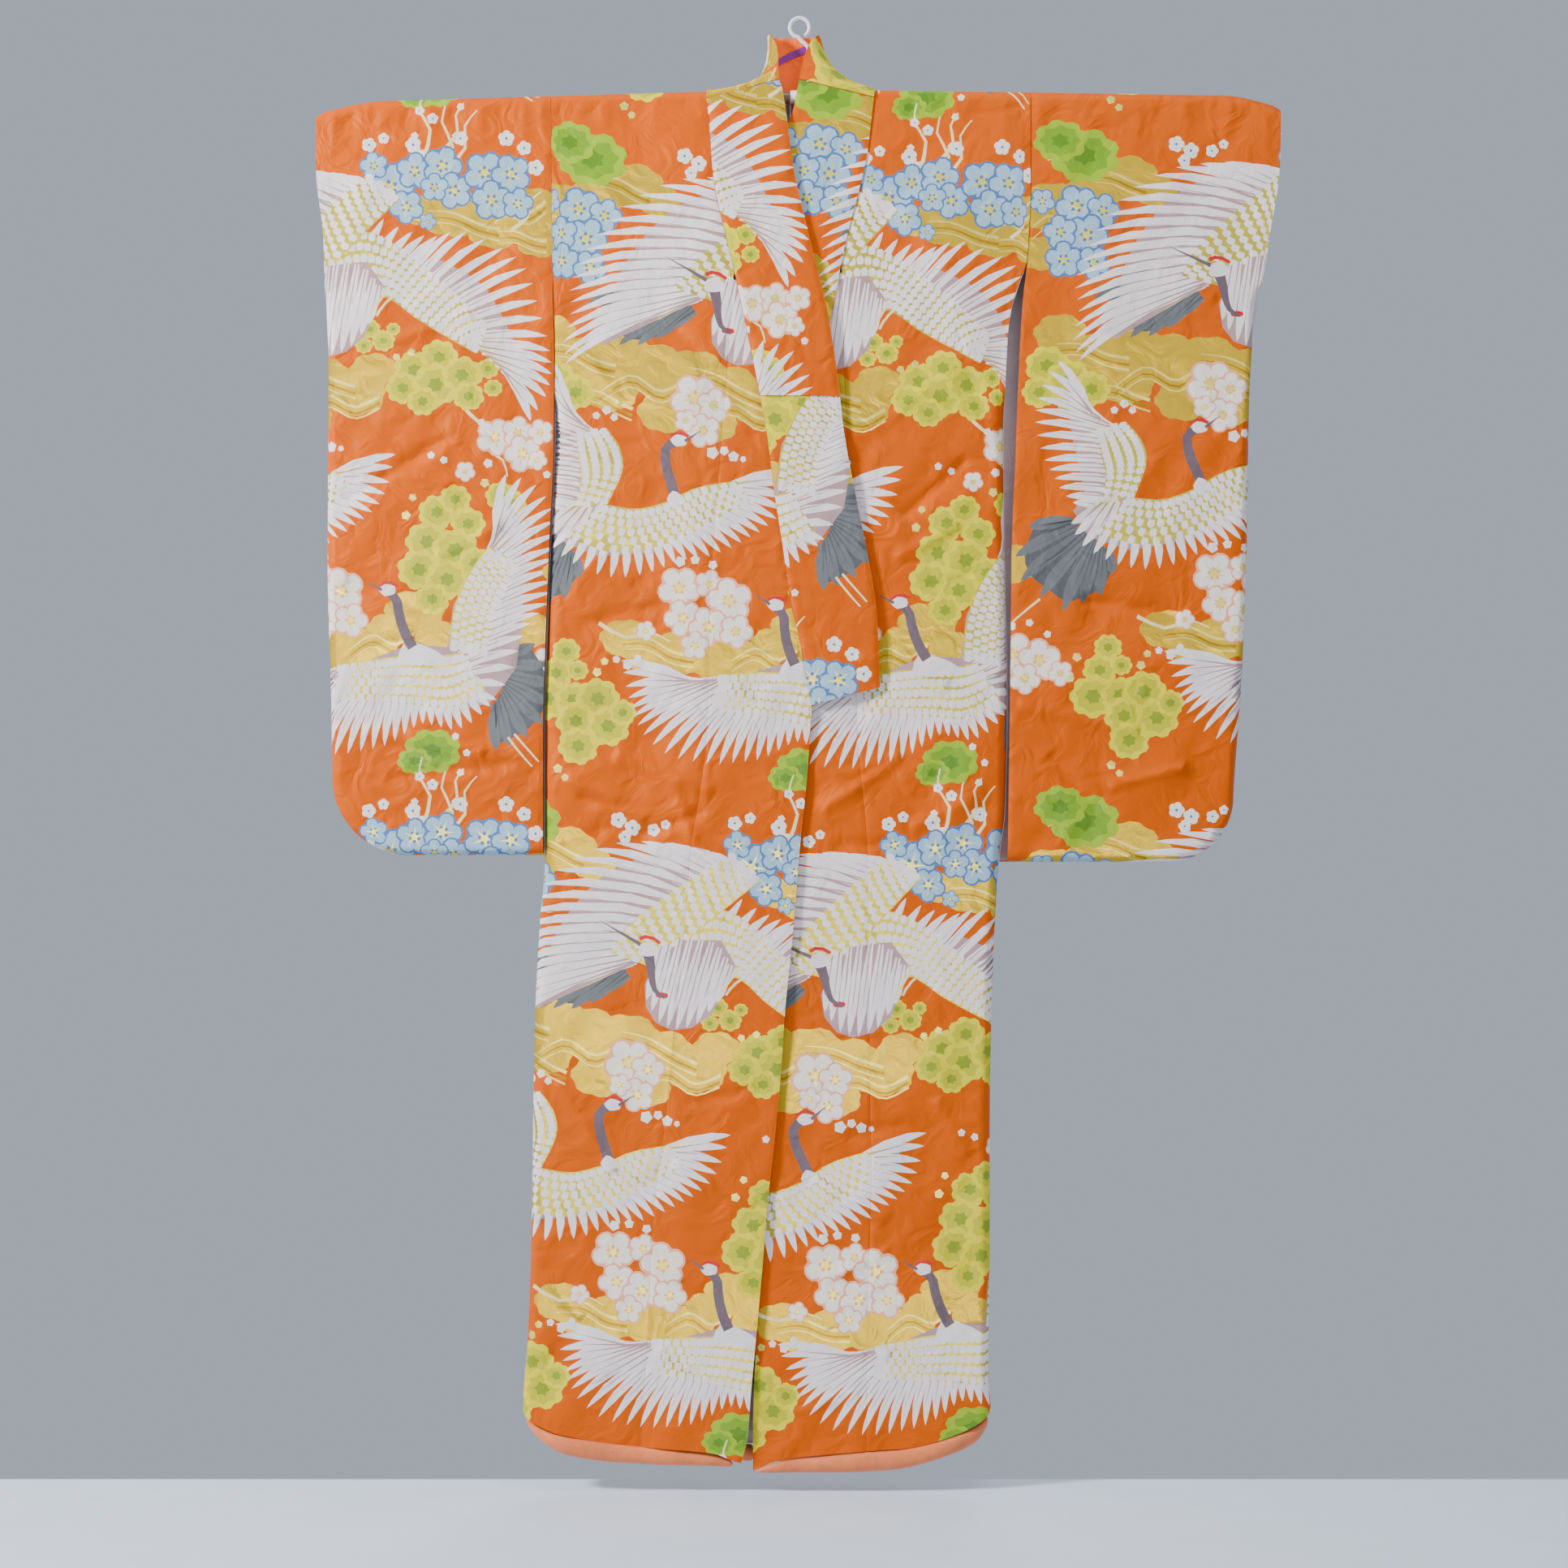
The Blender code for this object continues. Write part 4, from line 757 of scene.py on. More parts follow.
def crane_turning():
    """The crane that faces left, one wing raised high and the other swept down to the left."""
    drawn = fan([(126, 80), (136, 100), (140, 116), (130, 134)],
                [(180, 62), (198, 90), (204, 118), (198, 148), (178, 172), (152, 186), (132, 192)],
                8, 20, 0.03, "grey", "dark grey", 0.86, "dark grey", 0.8)
    drawn += band([(146, 176), (160, 194), (176, 212)], 3, 2, "cream", 3)
    drawn += band([(154, 172), (168, 188), (184, 206)], 3, 2, "cream", 3)
    drawn.append(("feather line", [(28, 62), (72, 66), (80, 14), (104, -30), (138, -56),
                                   (164, -26), (164, 40), (156, 92), (124, 134), (72, 146),
                                   (0, 140), (-60, 124), (-96, 102), (-40, 88)]))
    drawn += fan([(70, 120), (84, 96), (86, 70), (88, 44), (92, 16), (102, -14), (116, -40),
                  (132, -66)],
                 [(132, 130), (152, 96), (162, 62), (176, 34), (194, 14), (200, -10), (202, -34),
                  (206, -58), (204, -86), (197, -112), (177, -136), (144, -146)],
                 20, 13.5, -0.06, reach=0.45)
    drawn += fan([(-90, 100), (-60, 92), (-28, 88), (4, 84), (36, 84), (66, 92), (88, 98)],
                 [(-182, 82), (-174, 110), (-166, 134), (-158, 152), (-144, 172), (-118, 190),
                  (-86, 196), (-56, 197), (-28, 192), (-2, 186), (20, 173), (40, 160), (60, 163),
                  (82, 167), (104, 157), (124, 138)],
                 28, 14, 0.05)
    drawn += scales([(74, 66), (80, 20), (98, -24), (124, -58)],
                    [(120, 74), (126, 34), (140, -2), (158, -36)], 5, 14, 10)
    drawn += scales([(-58, 86), (-14, 80), (24, 76), (64, 76), (90, 72)],
                    [(-62, 126), (-14, 132), (32, 136), (78, 140), (118, 118)], 5, 19, 11)
    drawn.append(("white", [(22, 56), (34, 60), (58, 70), (72, 80), (40, 88), (10, 84), (14, 70)]))
    drawn += band([(30, 66), (22, 52), (14, 30), (10, 8), (0, -2)], 13, 11, "neck")
    drawn.append(("white", scallop((-1, -4), 11, 5, 0.1, 0, 0.7, 2)))
    drawn += band([(-11, -9), (0, -14), (11, -9)], 3, 4, "crimson", 3)
    drawn.append(("neck", sliver((-8, -4), (-30, -17), 4)))
    return drawn


# Clouds, streaks, branches and mounds of one repeat, in chart steps from the bowed crane's
# head; columns: x, y, size, turn
UNDER_FIGURES = {
    "cloud": ((-150, 110, 46, 0), (-190, 78, 34, 1), (-196, 136, 32, 2), (-104, 96, 42, 0),
              (-60, 110, 46, 1), (-10, 112, 44, 2), (-40, 160, 36, 0), (34, 128, 46, 1),
              (76, 140, 40, 2), (100, 112, 30, 0), (-110, 140, 36, 2), (20, 170, 30, 1),
              (-108, -112, 40, 0), (-150, -96, 36, 1), (-72, -96, 28, 2), (-200, -76, 44, 2),
              (-215, -20, 30, 1), (196, -82, 44, 0), (250, -66, 42, 1), (292, -84, 40, 2),
              (150, -84, 26, 0), (304, -50, 34, 1), (-60, 440, 34, 0), (-30, 456, 34, 1),
              (6, 452, 38, 2), (52, 456, 34, 0), (96, 452, 36, 1), (150, 408, 38, 2),
              (120, 430, 30, 1), (180, 440, 30, 0), (-250, 360, 34, 1), (292, 430, 30, 2)),
    "streak": ((-150, 100, 90, 0.2), (-70, 130, 110, -0.25), (30, 118, 100, 0.3),
               (56, 152, 104, -0.15), (-112, 150, 66, 0.3), (210, -72, 90, 0.25),
               (274, -84, 76, -0.3), (-20, 446, 90, 0.15), (110, 444, 80, -0.25),
               (-116, -112, 66, 0.3), (-196, -60, 60, -0.3), (282, -52, 60, 0.2)),
    "branch": ((162, -150, 80, -1.6), (188, -160, 60, -1.2), (206, 152, 90, 0.55),
               (232, 180, 70, 1.1), (184, 690, 96, -1.5), (190, 680, 80, -1.1),
               (-96, 424, 90, 0.16), (-206, -136, 60, -0.5), (268, -60, 60, -0.9)),
    "mound": ((-160, -140, 44, 0), (-190, -158, 34, 1), (172, 578, 36, 0), (150, 590, 22, 1)),
}

# Flowers and pines of one repeat, laid over the clouds; columns as above
FLOWER_FIGURES = {
    "blue": ((120, -112, 34, 0), (150, -132, 26, 1), (100, -138, 20, 2), (140, -88, 24, 0.4),
             (184, -138, 28, 1.3), (198, -108, 26, 0.7), (174, -112, 20, 2.2),
             (236, -130, 30, 0.2), (268, -128, 28, 1.8), (244, -96, 28, 0.9), (276, -92, 22, 2.4),
             (166, -70, 12, 0), (-170, -78, 30, 0.5), (-138, -72, 24, 1.2), (-158, -42, 30, 0.1),
             (-190, -46, 24, 2), (-186, -12, 26, 0.9), (-150, -8, 24, 1.6), (-212, -84, 18, 0.3)),
    "small": ((94, -164, 9, 0), (112, -172, 7, 1), (148, -164, 10, 2), (206, -172, 9, 0),
              (262, -172, 10, 1), (284, -160, 9, 2), (298, -136, 10, 0), (172, -196, 7, 1),
              (156, -206, 6, 0), (-48, -154, 10, 0), (-30, -146, 10, 1), (-38, -134, 8, 2),
              (-4, -146, 8, 0), (10, -154, 6, 1)),
    "white": ((-6, 140, 34, 0.3), (18, 146, 24, 1.0), (8, 178, 24, 0.6), (-14, 168, 16, 0),
              (-2, 372, 30, 0.2), (34, 364, 20, 1.1), (60, 382, 32, 0.7), (6, 408, 26, 1.7),
              (38, 416, 28, 0.4), (72, 418, 24, 1.3), (24, 440, 20, 0.9), (-38, 428, 14, 0),
              (248, 194, 26, 0.1), (276, 188, 22, 1.1), (282, 214, 26, 0.6), (304, 188, 18, 1.9),
              (212, 236, 14, 0.3), (300, 222, 14, 0.2), (-248, 470, 30, 0.2), (-216, 478, 30, 0.9),
              (-234, 500, 22, 1.5), (-190, 494, 18, 0.4), (306, 470, 20, 1.0)),
    "bud": ((22, 204, 8, 0), (36, 200, 6, 0), (48, 206, 7, 0), (60, 208, 4, 0), (-124, 172, 5, 0),
            (-112, 164, 6, 0), (-102, 172, 5, 0), (-60, 300, 6, 0), (-50, 292, 5, 0),
            (-4, 340, 7, 0), (14, 336, 6, 0), (36, 340, 6, 0), (-70, 466, 5, 0), (-56, 472, 6, 0),
            (-44, 462, 5, 0), (-250, 436, 6, 0), (-228, 432, 5, 0), (-206, 446, 5, 0),
            (240, 226, 6, 0), (232, 176, 5, 0), (312, 240, 5, 0), (200, 560, 5, 0),
            (214, 580, 5, 0), (206, 604, 5, 0), (150, 640, 5, 0), (158, 662, 6, 0),
            (200, 640, 5, 0), (170, 216, 5, 0), (186, 222, 5, 0), (210, 230, 5, 0)),
    "pine": ((96, 62, 13, 0), (112, 76, 15, 1), (88, 82, 11, 2), (124, 62, 9, 0),
             (150, 112, 26, 0), (180, 96, 24, 1), (136, 134, 22, 2), (176, 130, 30, 0.4),
             (208, 118, 26, 1.4), (216, 144, 20, 2.2), (160, 150, 20, 0.8), (240, 110, 14, 1.1),
             (246, 134, 12, 0), (178, 286, 24, 0), (200, 270, 20, 1), (216, 300, 22, 2),
             (166, 322, 28, 0.4), (200, 332, 30, 1.4), (224, 348, 22, 0.3), (156, 356, 28, 0.7),
             (190, 368, 28, 1.9), (172, 392, 22, 0.1), (256, 266, 20, 0.5), (272, 274, 16, 1.5),
             (-206, 118, 28, 0), (-180, 136, 30, 1), (-152, 146, 24, 2), (-216, 150, 22, 0.4),
             (-176, 164, 20, 1.3), (-132, 462, 18, 0), (-142, 490, 22, 1), (-116, 484, 14, 2),
             (-150, 522, 30, 0.4), (-118, 520, 24, 1.3), (-88, 516, 28, 0.2), (-112, 546, 26, 0.9),
             (-72, 548, 28, 1.6), (-106, 576, 26, 0.1), (-56, 530, 18, 1.2)),
    "sprig": ((-84, 470, 5, 1), (-92, 484, 6, 1), (-170, 474, 6, 1), (-178, 500, 5, 1),
              (-128, 606, 6, 1), (-118, 616, 5, 1), (236, 250, 6, 1), (148, 268, 5, 1),
              (140, 290, 6, 1), (146, 90, 5, 1), (222, 84, 6, 1), (128, 96, 5, 1)),
}


def figure(kind, x, y, size, turn):
    """The outlines of one small figure."""
    if kind == "cloud":
        return [("gold", scallop((x, y), size, 7, 0.1, turn, 0.72, 3))]
    if kind == "streak":
        run, swing = (size / 2 * math.cos(turn), size / 2 * math.sin(turn)), size * STREAK_SWING
        drawn = []
        for shift, width, dye in STREAK_STROKES:
            line = [(x + run[0] * a, y + run[1] * b + swing * c + shift)
                    for a, b, c in STREAK_LINE]
            drawn += band(line, STREAK_START, width, dye, STREAK_STEPS)
        return drawn
    if kind == "branch":
        run = (size * math.cos(turn), size * math.sin(turn))
        line = [(x + run[0] * on - run[1] * aside, y + run[1] * on + run[0] * aside)
                for on, aside in BRANCH_LINE]
        return band(line, BRANCH_START, BRANCH_END, "cream", BRANCH_STEPS)
    if kind == "mound":
        return pine((x, y), size, "moss rim", "moss", "moss heart", turn, 0.78)
    if kind == "blue":
        petal, shade = (("pale blue", "deep blue"), ("blue", "pale blue"))[int(x + y) % 2]
        return blossom((x, y), size * BLOSSOM_SIZE, petal, shade, "pale gold", turn)
    if kind == "small":
        return blossom((x, y), size, "pale blue", "petal white", "deep blue", turn)
    if kind == "white":
        return blossom((x, y), size * BLOSSOM_SIZE, "petal white", "petal line", "pale gold",
                       turn)
    if kind == "pine":
        return pine((x, y), size, "lime", "pine green", "pine heart", turn)
    dye = "pale gold" if kind == "sprig" else "petal white"
    return [(dye, scallop((x, y), size, 5, 0.2, x, 1.0, 2))]


def repeat_figures():
    """Everything woven in one repeat, in the order it is laid."""
    drawn = []
    for kind, rows in (UNDER_FIGURES | FLOWER_FIGURES).items():
        for row in rows:
            drawn += figure(kind, *row)
    for x, y, crane in ((118, 385, crane_turning), (-25, 203, crane_rising), (0, 0, crane_bowed)):
        drawn += [(dye, [(x + a, y + b) for a, b in points]) for dye, points in crane()]
    return drawn


REPEAT = [(dye, points, (min(x for x, _ in points), min(y for _, y in points),
                         max(x for x, _ in points), max(y for _, y in points)))
          for dye, points in repeat_figures()]

# Where the bowed crane's head falls on each piece; columns: x, drop, tilt in degrees
WOVEN_AT = {
    "sleeve_left_front": (-683.1, 352, 0), "sleeve_left_back": (-420, 380, 0),
    "sleeve_right_front": (559.9, 339.9, 0), "sleeve_right_back": (240, 380, 0),
    "body_left_front": (-118.8, 361.9, 5.7), "gore_left": (-118.8, 361.9, 5.7),
    "body_right_front": (-8.8, 374, -2), "gore_right": (-8.8, 374, -2),
    "body_left_back": (2, 430, 0), "body_right_back": (2, 430, 0),
    "collar_left": (-242, 137.5, 0), "collar_right": (214.5, 257.4, 0),
    "over_collar_left": (-336.6, 173.8, 0), "over_collar_right": (214.5, 257.4, 0),
    "collar_neck": (111, -103, 0),
}


def figures_on(name, low_u, low_v, high_u, high_v):
    """The repeat's figures over a part of one piece, placed and turned, with their bounds."""
    x0, drop0, tilt = WOVEN_AT[name]
    cos = math.cos(math.radians(tilt)) * CHART_STEP
    sin = math.sin(math.radians(tilt)) * CHART_STEP
    corners = [((u - x0) * cos + (v - drop0) * sin, (v - drop0) * cos - (u - x0) * sin)
               for u in (low_u, high_u) for v in (low_v, high_v)]
    left, right = (pick(a for a, _ in corners) / CHART_STEP ** 2 for pick in (min, max))
    top, bottom = (pick(b for _, b in corners) / CHART_STEP ** 2 for pick in (min, max))
    placed = []
    for row in (-1, 0, 1, 2):
        for column in (-1, 0, 1):
            over, down = column * REPEAT_WIDTH, row * REPEAT_HEIGHT
            for dye, points, (a0, b0, a1, b1) in REPEAT:
                if a1 + over < left or a0 + over > right or b1 + down < top or b0 + down > bottom:
                    continue
                moved = [(x0 + (a + over) * cos - (b + down) * sin,
                          drop0 + (a + over) * sin + (b + down) * cos) for a, b in points]
                us, vs = [u for u, _ in moved], [v for _, v in moved]
                placed.append((dye, moved, (min(us), min(vs), max(us), max(vs))))
    return placed


def clipped(points, box):
    """A shape's part inside a patch."""
    for axis, limit, sign in ((0, box[0], 1), (0, box[2], -1), (1, box[1], 1), (1, box[3], -1)):
        kept = []
        for here, after in zip(points, points[1:] + points[:1]):
            a, b = (here[axis] - limit) * sign, (after[axis] - limit) * sign
            if a >= 0:
                kept.append(here)
            if (a > 0 > b) or (a < 0 < b):
                t = a / (a - b)
                cut = [mix(here[0], after[0], t), mix(here[1], after[1], t)]
                cut[axis] = limit
                kept.append(tuple(cut))
        points = kept
        if len(points) < 3:
            return []
    return points


def at_border(part, box):
    """Whether a shape runs along its patch's border, which may have cut it in several parts."""
    return any(a == b == limit for here, after in zip(part, part[1:] + part[:1])
               for a, b, limit in ((here[0], after[0], box[0]), (here[0], after[0], box[2]),
                                   (here[1], after[1], box[1]), (here[1], after[1], box[3])))


def turned_left(points):
    """The shape with its points running anticlockwise."""
    twice = sum(a[0] * b[1] - b[0] * a[1] for a, b in zip(points, points[1:] + points[:1]))
    return points if twice > 0 else points[::-1]


def covers(points, u, v):
    """Whether a shape covers a place."""
    inside = False
    for (a, b), (c, d) in zip(points, points[1:] + points[:1]):
        if (b > v) != (d > v) and u < (c - a) * (v - b) / (d - b) + a:
            inside = not inside
    return inside


def cut_patch(shapes, box, net):
    """Cuts a patch of cloth along the shapes' outlines; the last shape laid gives the dye."""
    flat, loops, names, parts, split, reach = list(net), [], [], [], [], []
    for dye, points, bounds in shapes:
        apart = (bounds[2] <= box[0] or bounds[0] >= box[2] or bounds[3] <= box[1]
                 or bounds[1] >= box[3])
        part = [] if apart else turned_left(clipped(points, box))
        if len(part) < 3:
            if not names:
                return [], []
            continue
        loops.append(list(range(len(flat), len(flat) + len(part))))
        flat += part
        names.append(dye)
        parts.append(part)
        reach.append(bounds)
        split.append(at_border(part, box))
    spots, _, faces, _, _, laid = delaunay_2d_cdt([Vector(p) for p in flat], [], loops, 1,
                                                  MERGE, True)
    cut = []
    for face, over in zip(faces, laid):
        (a, b), (c, d), (e, f) = (spots[k] for k in face[:3])
        middle = ((a + c + e) / 3, (b + d + f) / 3)
        if not (covers(parts[0], *middle) if split[0] else 0 in over):
            continue
        top = max([number for number in over if not split[number]], default=0)
        for number in range(len(names) - 1, top, -1):
            low_u, low_v, high_u, high_v = reach[number]
            if (split[number] and low_u < middle[0] < high_u and low_v < middle[1] < high_v
                    and covers(parts[number], *middle)):
                top = number
                break
        cut.append((face, names[top]))
    return spots, cut


def woven(name, outline, ground):
    """Cuts a whole piece, patch by patch: its flat points, and its faces with their dyes."""
    us, vs = [u for u, _ in outline], [v for _, v in outline]
    bounds = (min(us), min(vs), max(us), max(vs))
    shapes = [(ground, outline, bounds)]
    if name in WOVEN_AT:
        shapes += figures_on(name, *bounds)
    rows = beside(outline)
    points, faces, known = [], [], {}
    for i in range(math.floor(bounds[0] / PATCH), math.floor(bounds[2] / PATCH) + 1):
        for j in range(math.floor(bounds[1] / PATCH), math.floor(bounds[3] / PATCH) + 1):
            box = (i * PATCH, j * PATCH, (i + 1) * PATCH, (j + 1) * PATCH)
            net = [((i * NET_STEPS + a) * NET, (j * NET_STEPS + b) * NET)
                   for a in range(NET_STEPS + 1) for b in range(NET_STEPS + 1)]
            net += [(u, v) for u, v in rows
                    if box[0] < u < box[2] and box[1] < v < box[3]]
            spots, cut = cut_patch(shapes, box, net)
            numbers = {}
            for number in {k for face, _ in cut for k in face}:
                u, v = spots[number]
                key = (round(u * POINTS_PER_MM), round(v * POINTS_PER_MM))
                if key not in known:
                    known[key] = len(points)
                    points.append((u, v))
                numbers[number] = known[key]
            for face, dye in cut:
                corners = [numbers[k] for k in face]
                if len(set(corners)) == 3:
                    faces.append((corners, dye))
    return points, faces


def beside(outline):
    """Rows of points just inside the outline, so that the cloth can round off there."""
    rows = []
    ring = turned_left(outline)
    for before, here, after in zip(ring[-1:] + ring[:-1], ring, ring[1:] + ring[:1]):
        inward = square_to((after[0] - before[0], after[1] - before[1]))
        rows += [(here[0] + inward[0] * inset, here[1] + inward[1] * inset)
                 for inset in EDGE_ROWS]
    return rows


def lay(place, side, u, v):
    """A point of the hung outer face, and the way it faces."""
    here = place(u, v)
    normal = (place(u + PROBE, v) - here).cross(place(u, v + PROBE) - here)
    return here, normal.normalized() * side


def linear(level):
    """A colour level from 0 to 255 as the amount of light."""
    level /= 255
    return level / 12.92 if level <= 0.04045 else ((level + 0.055) / 1.055) ** 2.4


def vivid(levels):
    """A thread's colour as light, a little purer than the photographed one."""
    lights = [linear(level) for level in levels]
    grey = sum(lights) / 3
    return [min(max(mix(grey, light, PURER), 0.0), 1.0) for light in lights] + [1.0]


def ring_area(points):
    """Area inside a closed outline, in square millimetres."""
    return abs(sum(a[0] * b[1] - b[0] * a[1]
                   for a, b in zip(points, points[1:] + points[:1]))) / 2


def lining_net(ring):
    """The lining's flat points and faces: the outline and a coarse net inside it."""
    across, down = (range(math.floor(min(p[axis] for p in ring) / LINING_NET) + 1,
                          math.ceil(max(p[axis] for p in ring) / LINING_NET))
                    for axis in (0, 1))
    net = ring + [Vector((LINING_NET * i, LINING_NET * j)) for i in across for j in down]
    spots, _, faces, _, _, over = delaunay_2d_cdt(net, [], [list(range(len(ring)))], 1, MERGE,
                                                  True)
    faces = [face for face, covered in zip(faces, over) if covered]
    used = sorted({k for face in faces for k in face})
    renumbered = {k: number for number, k in enumerate(used)}
    return [spots[k] for k in used], [[renumbered[k] for k in face] for face in faces]


def flat_size(outline, strip):
    """Area of a cut in square metres, its width and length in millimetres.

    A slanting strip is measured along its run.
    """
    area = ring_area(outline)
    width, length = (max(p[axis] for p in outline) - min(p[axis] for p in outline)
                     for axis in (0, 1))
    if strip:
        half_round = sum(math.dist(a, b)
                         for a, b in zip(outline, outline[1:] + outline[:1])) / 2
        width = area / (half_round - width)
        length = area / width
    return area * MM * MM, width, length


def cloth_piece(node, outline, place, side, strip=False, ground="ground",
                inside="lining"):
    """A piece of brocade with its lining: cut flat, hung, and given its threads and dyes."""
    points, faces = woven(node, outline, ground)
    laid = [lay(place, side, u, v) for u, v in points]
    ring = [Vector(p) for p in turned_left(outline)]
    spots, inner_faces = lining_net(ring)
    inner = [lay(place, side, u, v) for u, v in spots]
    first = len(points)
    thick = bpy.context.scene.kimono_cloth.thickness / MM
    corners = [here for here, _ in laid]
    edge = {(round(u), round(v)) for u, v in ring}
    corners += [here - normal * (thick + (0.0 if (round(u), round(v)) in edge else LINING_BACK))
                for (here, normal), (u, v) in zip(inner, spots)]
    rim = list(range(len(corners), len(corners) + 2 * len(ring), 2))
    for u, v in ring:
        here, normal = lay(place, side, u, v)
        corners += [here, here - normal * thick]
    # the face, the rim and the lining; the normals of the rim are left to its own faces
    loops = [face if side > 0 else face[::-1] for face, _ in faces]
    dyes = [dye for _, dye in faces]
    faced = [laid[k][1] for loop in loops for k in loop]
    for a, b in zip(rim, rim[1:] + rim[:1]):
        loops.append((a, a + 1, b + 1, b) if side > 0 else (b, b + 1, a + 1, a))
        dyes.append(ground)
        faced += [(0.0, 0.0, 0.0)] * 4
    for face in inner_faces:
        run = [first + k for k in face]
        loops.append(run[::-1] if side > 0 else run)
        dyes.append(inside)
        faced += [-inner[k - first][1] for k in loops[-1]]
    mesh = bpy.data.meshes.new(node + "_cloth")
    mesh.from_pydata([corner * MM for corner in corners], [], loops)
    for material in threads():
        mesh.materials.append(material)
    flat = points + [tuple(p) for p in spots] + [tuple(p) for p in ring for _ in (0, 1)]
    sheet_map = mesh.uv_layers.new(name="cloth")
    sheet_map.data.foreach_set("uv", [c * MM for loop in loops for k in loop for c in flat[k]])
    tint = {dye: vivid(THREADS[dye][:3]) for dye in set(dyes)}
    if ground == "ground":
        tint["ground"] = list(bpy.context.scene.kimono_cloth.ground_color) + [1.0]
    colours = mesh.color_attributes.new("dye", "FLOAT_COLOR", "CORNER")
    colours.data.foreach_set("color", [c for loop, dye in zip(loops, dyes) for _ in loop
                                       for c in tint[dye]])
    mesh.polygons.foreach_set("material_index", [THREADS[dye][3] for dye in dyes])
    mesh.shade_smooth()
    mesh.normals_split_custom_set(faced)
    piece = bpy.data.objects.new(node + "_cloth", mesh)
    bpy.context.scene.collection.objects.link(piece)
    area, width, length = flat_size(outline, strip)
    min(area, round(width * MM, 3) * round(length * MM, 3))
    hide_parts(node)
    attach(piece, "root")


def spaced(start, end):
    """Even steps from one number towards another, without the last."""
    count = max(round(abs(end - start) / EDGE_STEP), 1)
    return [mix(start, end, number / count) for number in range(count)]


def walk(inner, outer, top, bottom, corner=None):
    """A cut's outline: along its top, down its outer edge, back along its foot and up."""
    def meet(edge, level):
        drop = level(edge(MEET_FROM))
        for _ in range(MEET_ROUNDS):
            drop = level(edge(drop))
        return drop

    top_in, top_out = meet(inner, top), meet(outer, top)
    foot_in, foot_out = meet(inner, bottom), meet(outer, bottom)
    points = [(x, top(x)) for x in spaced(inner(top_in), outer(top_out))]
    if corner:
        x0, drop0, reach, outward = corner
        points += [(outer(drop), drop) for drop in spaced(top_out, drop0)]
        points += [(x0 + outward * reach * math.cos(angle), drop0 + reach * math.sin(angle))
                   for angle in (math.pi / 2 * number / CORNER_STEPS
                                 for number in range(CORNER_STEPS))]
        foot_from = x0
    else:
        points += [(outer(drop), drop) for drop in spaced(top_out, foot_out)]
        foot_from = outer(foot_out)
    points += [(x, bottom(x)) for x in spaced(foot_from, inner(foot_in))]
    points += [(inner(drop), drop) for drop in spaced(foot_in, top_in)]
    return points


def rolled(distance, radius):
    """How far cloth has gone on past a fold's start, and how much of its depth is left."""
    angle = min(max(distance / radius, 0.0), math.pi / 2)
    return radius * math.sin(angle), math.cos(angle)


def set_down(x, drop, side, depth):
    """The point of the front or the back at this depth from the middle plane."""
    return Vector((x, side * (HALF_GAP + depth), -drop))


def over_shoulder(u, v):
    """Drop and share of depth on the fold over the hanger; below it the cloth hangs."""
    start = shoulder(u) + FOLD_RADIUS
    if v >= start:
        return v, 1.0
    turn, lift = rolled(start - v, FOLD_RADIUS)
    return start - turn, lift


def sleeve(node, side, outward, inner_edge, cuff, bottom, radius):
    """Front or back of a sleeve, closed along its bottom and below the cuff."""
    corner_drop = bottom - radius
    corner_x = cuff(corner_drop) - outward * radius
    spare = (math.pi / 2 - 1) * FOLD_RADIUS

    def place(u, v):
        drop, row_lift = over_shoulder(u, v)
        x, lift = u, 1.0
        closed = ease(drop, CUFF_END, CUFF_END + CLOSING_LENGTH)
        out, deep = (u - corner_x) * outward, drop - corner_drop
        if out > 0 and deep > 0:
            reach = math.hypot(out, deep)
            flat_part = radius - FOLD_RADIUS
            if reach > flat_part:
                turn, lift = rolled(reach - flat_part, FOLD_RADIUS)
                share = (flat_part + turn) / reach
                x, drop = corner_x + outward * out * share, corner_drop + deep * share
        else:
            outside = cuff(drop) - outward * FOLD_RADIUS
            over = (u - outside) * outward
            if over > 0:
                turn, lift = rolled(over, FOLD_RADIUS)
                x = outside + outward * mix(over * 2 / math.pi, turn, closed)
            if drop > bottom - FOLD_RADIUS:
                turn, row_lift = rolled(drop - bottom + FOLD_RADIUS, FOLD_RADIUS)
                drop = bottom - FOLD_RADIUS + turn
        lifted = min(1 - closed * (1 - lift), row_lift)
        depth = half_depth(x, drop, side) - edge_dip(abs(u - inner_edge(drop)))
        return set_down(x, drop, side, lifted * depth)

    outline = walk(inner_edge, lambda drop: cuff(drop) + outward * spare,
                   lambda x: shoulder(x) - spare, lambda x: bottom + spare,
                   (corner_x, corner_drop, radius + spare, outward))
    cloth_piece(node, outline, place, side)


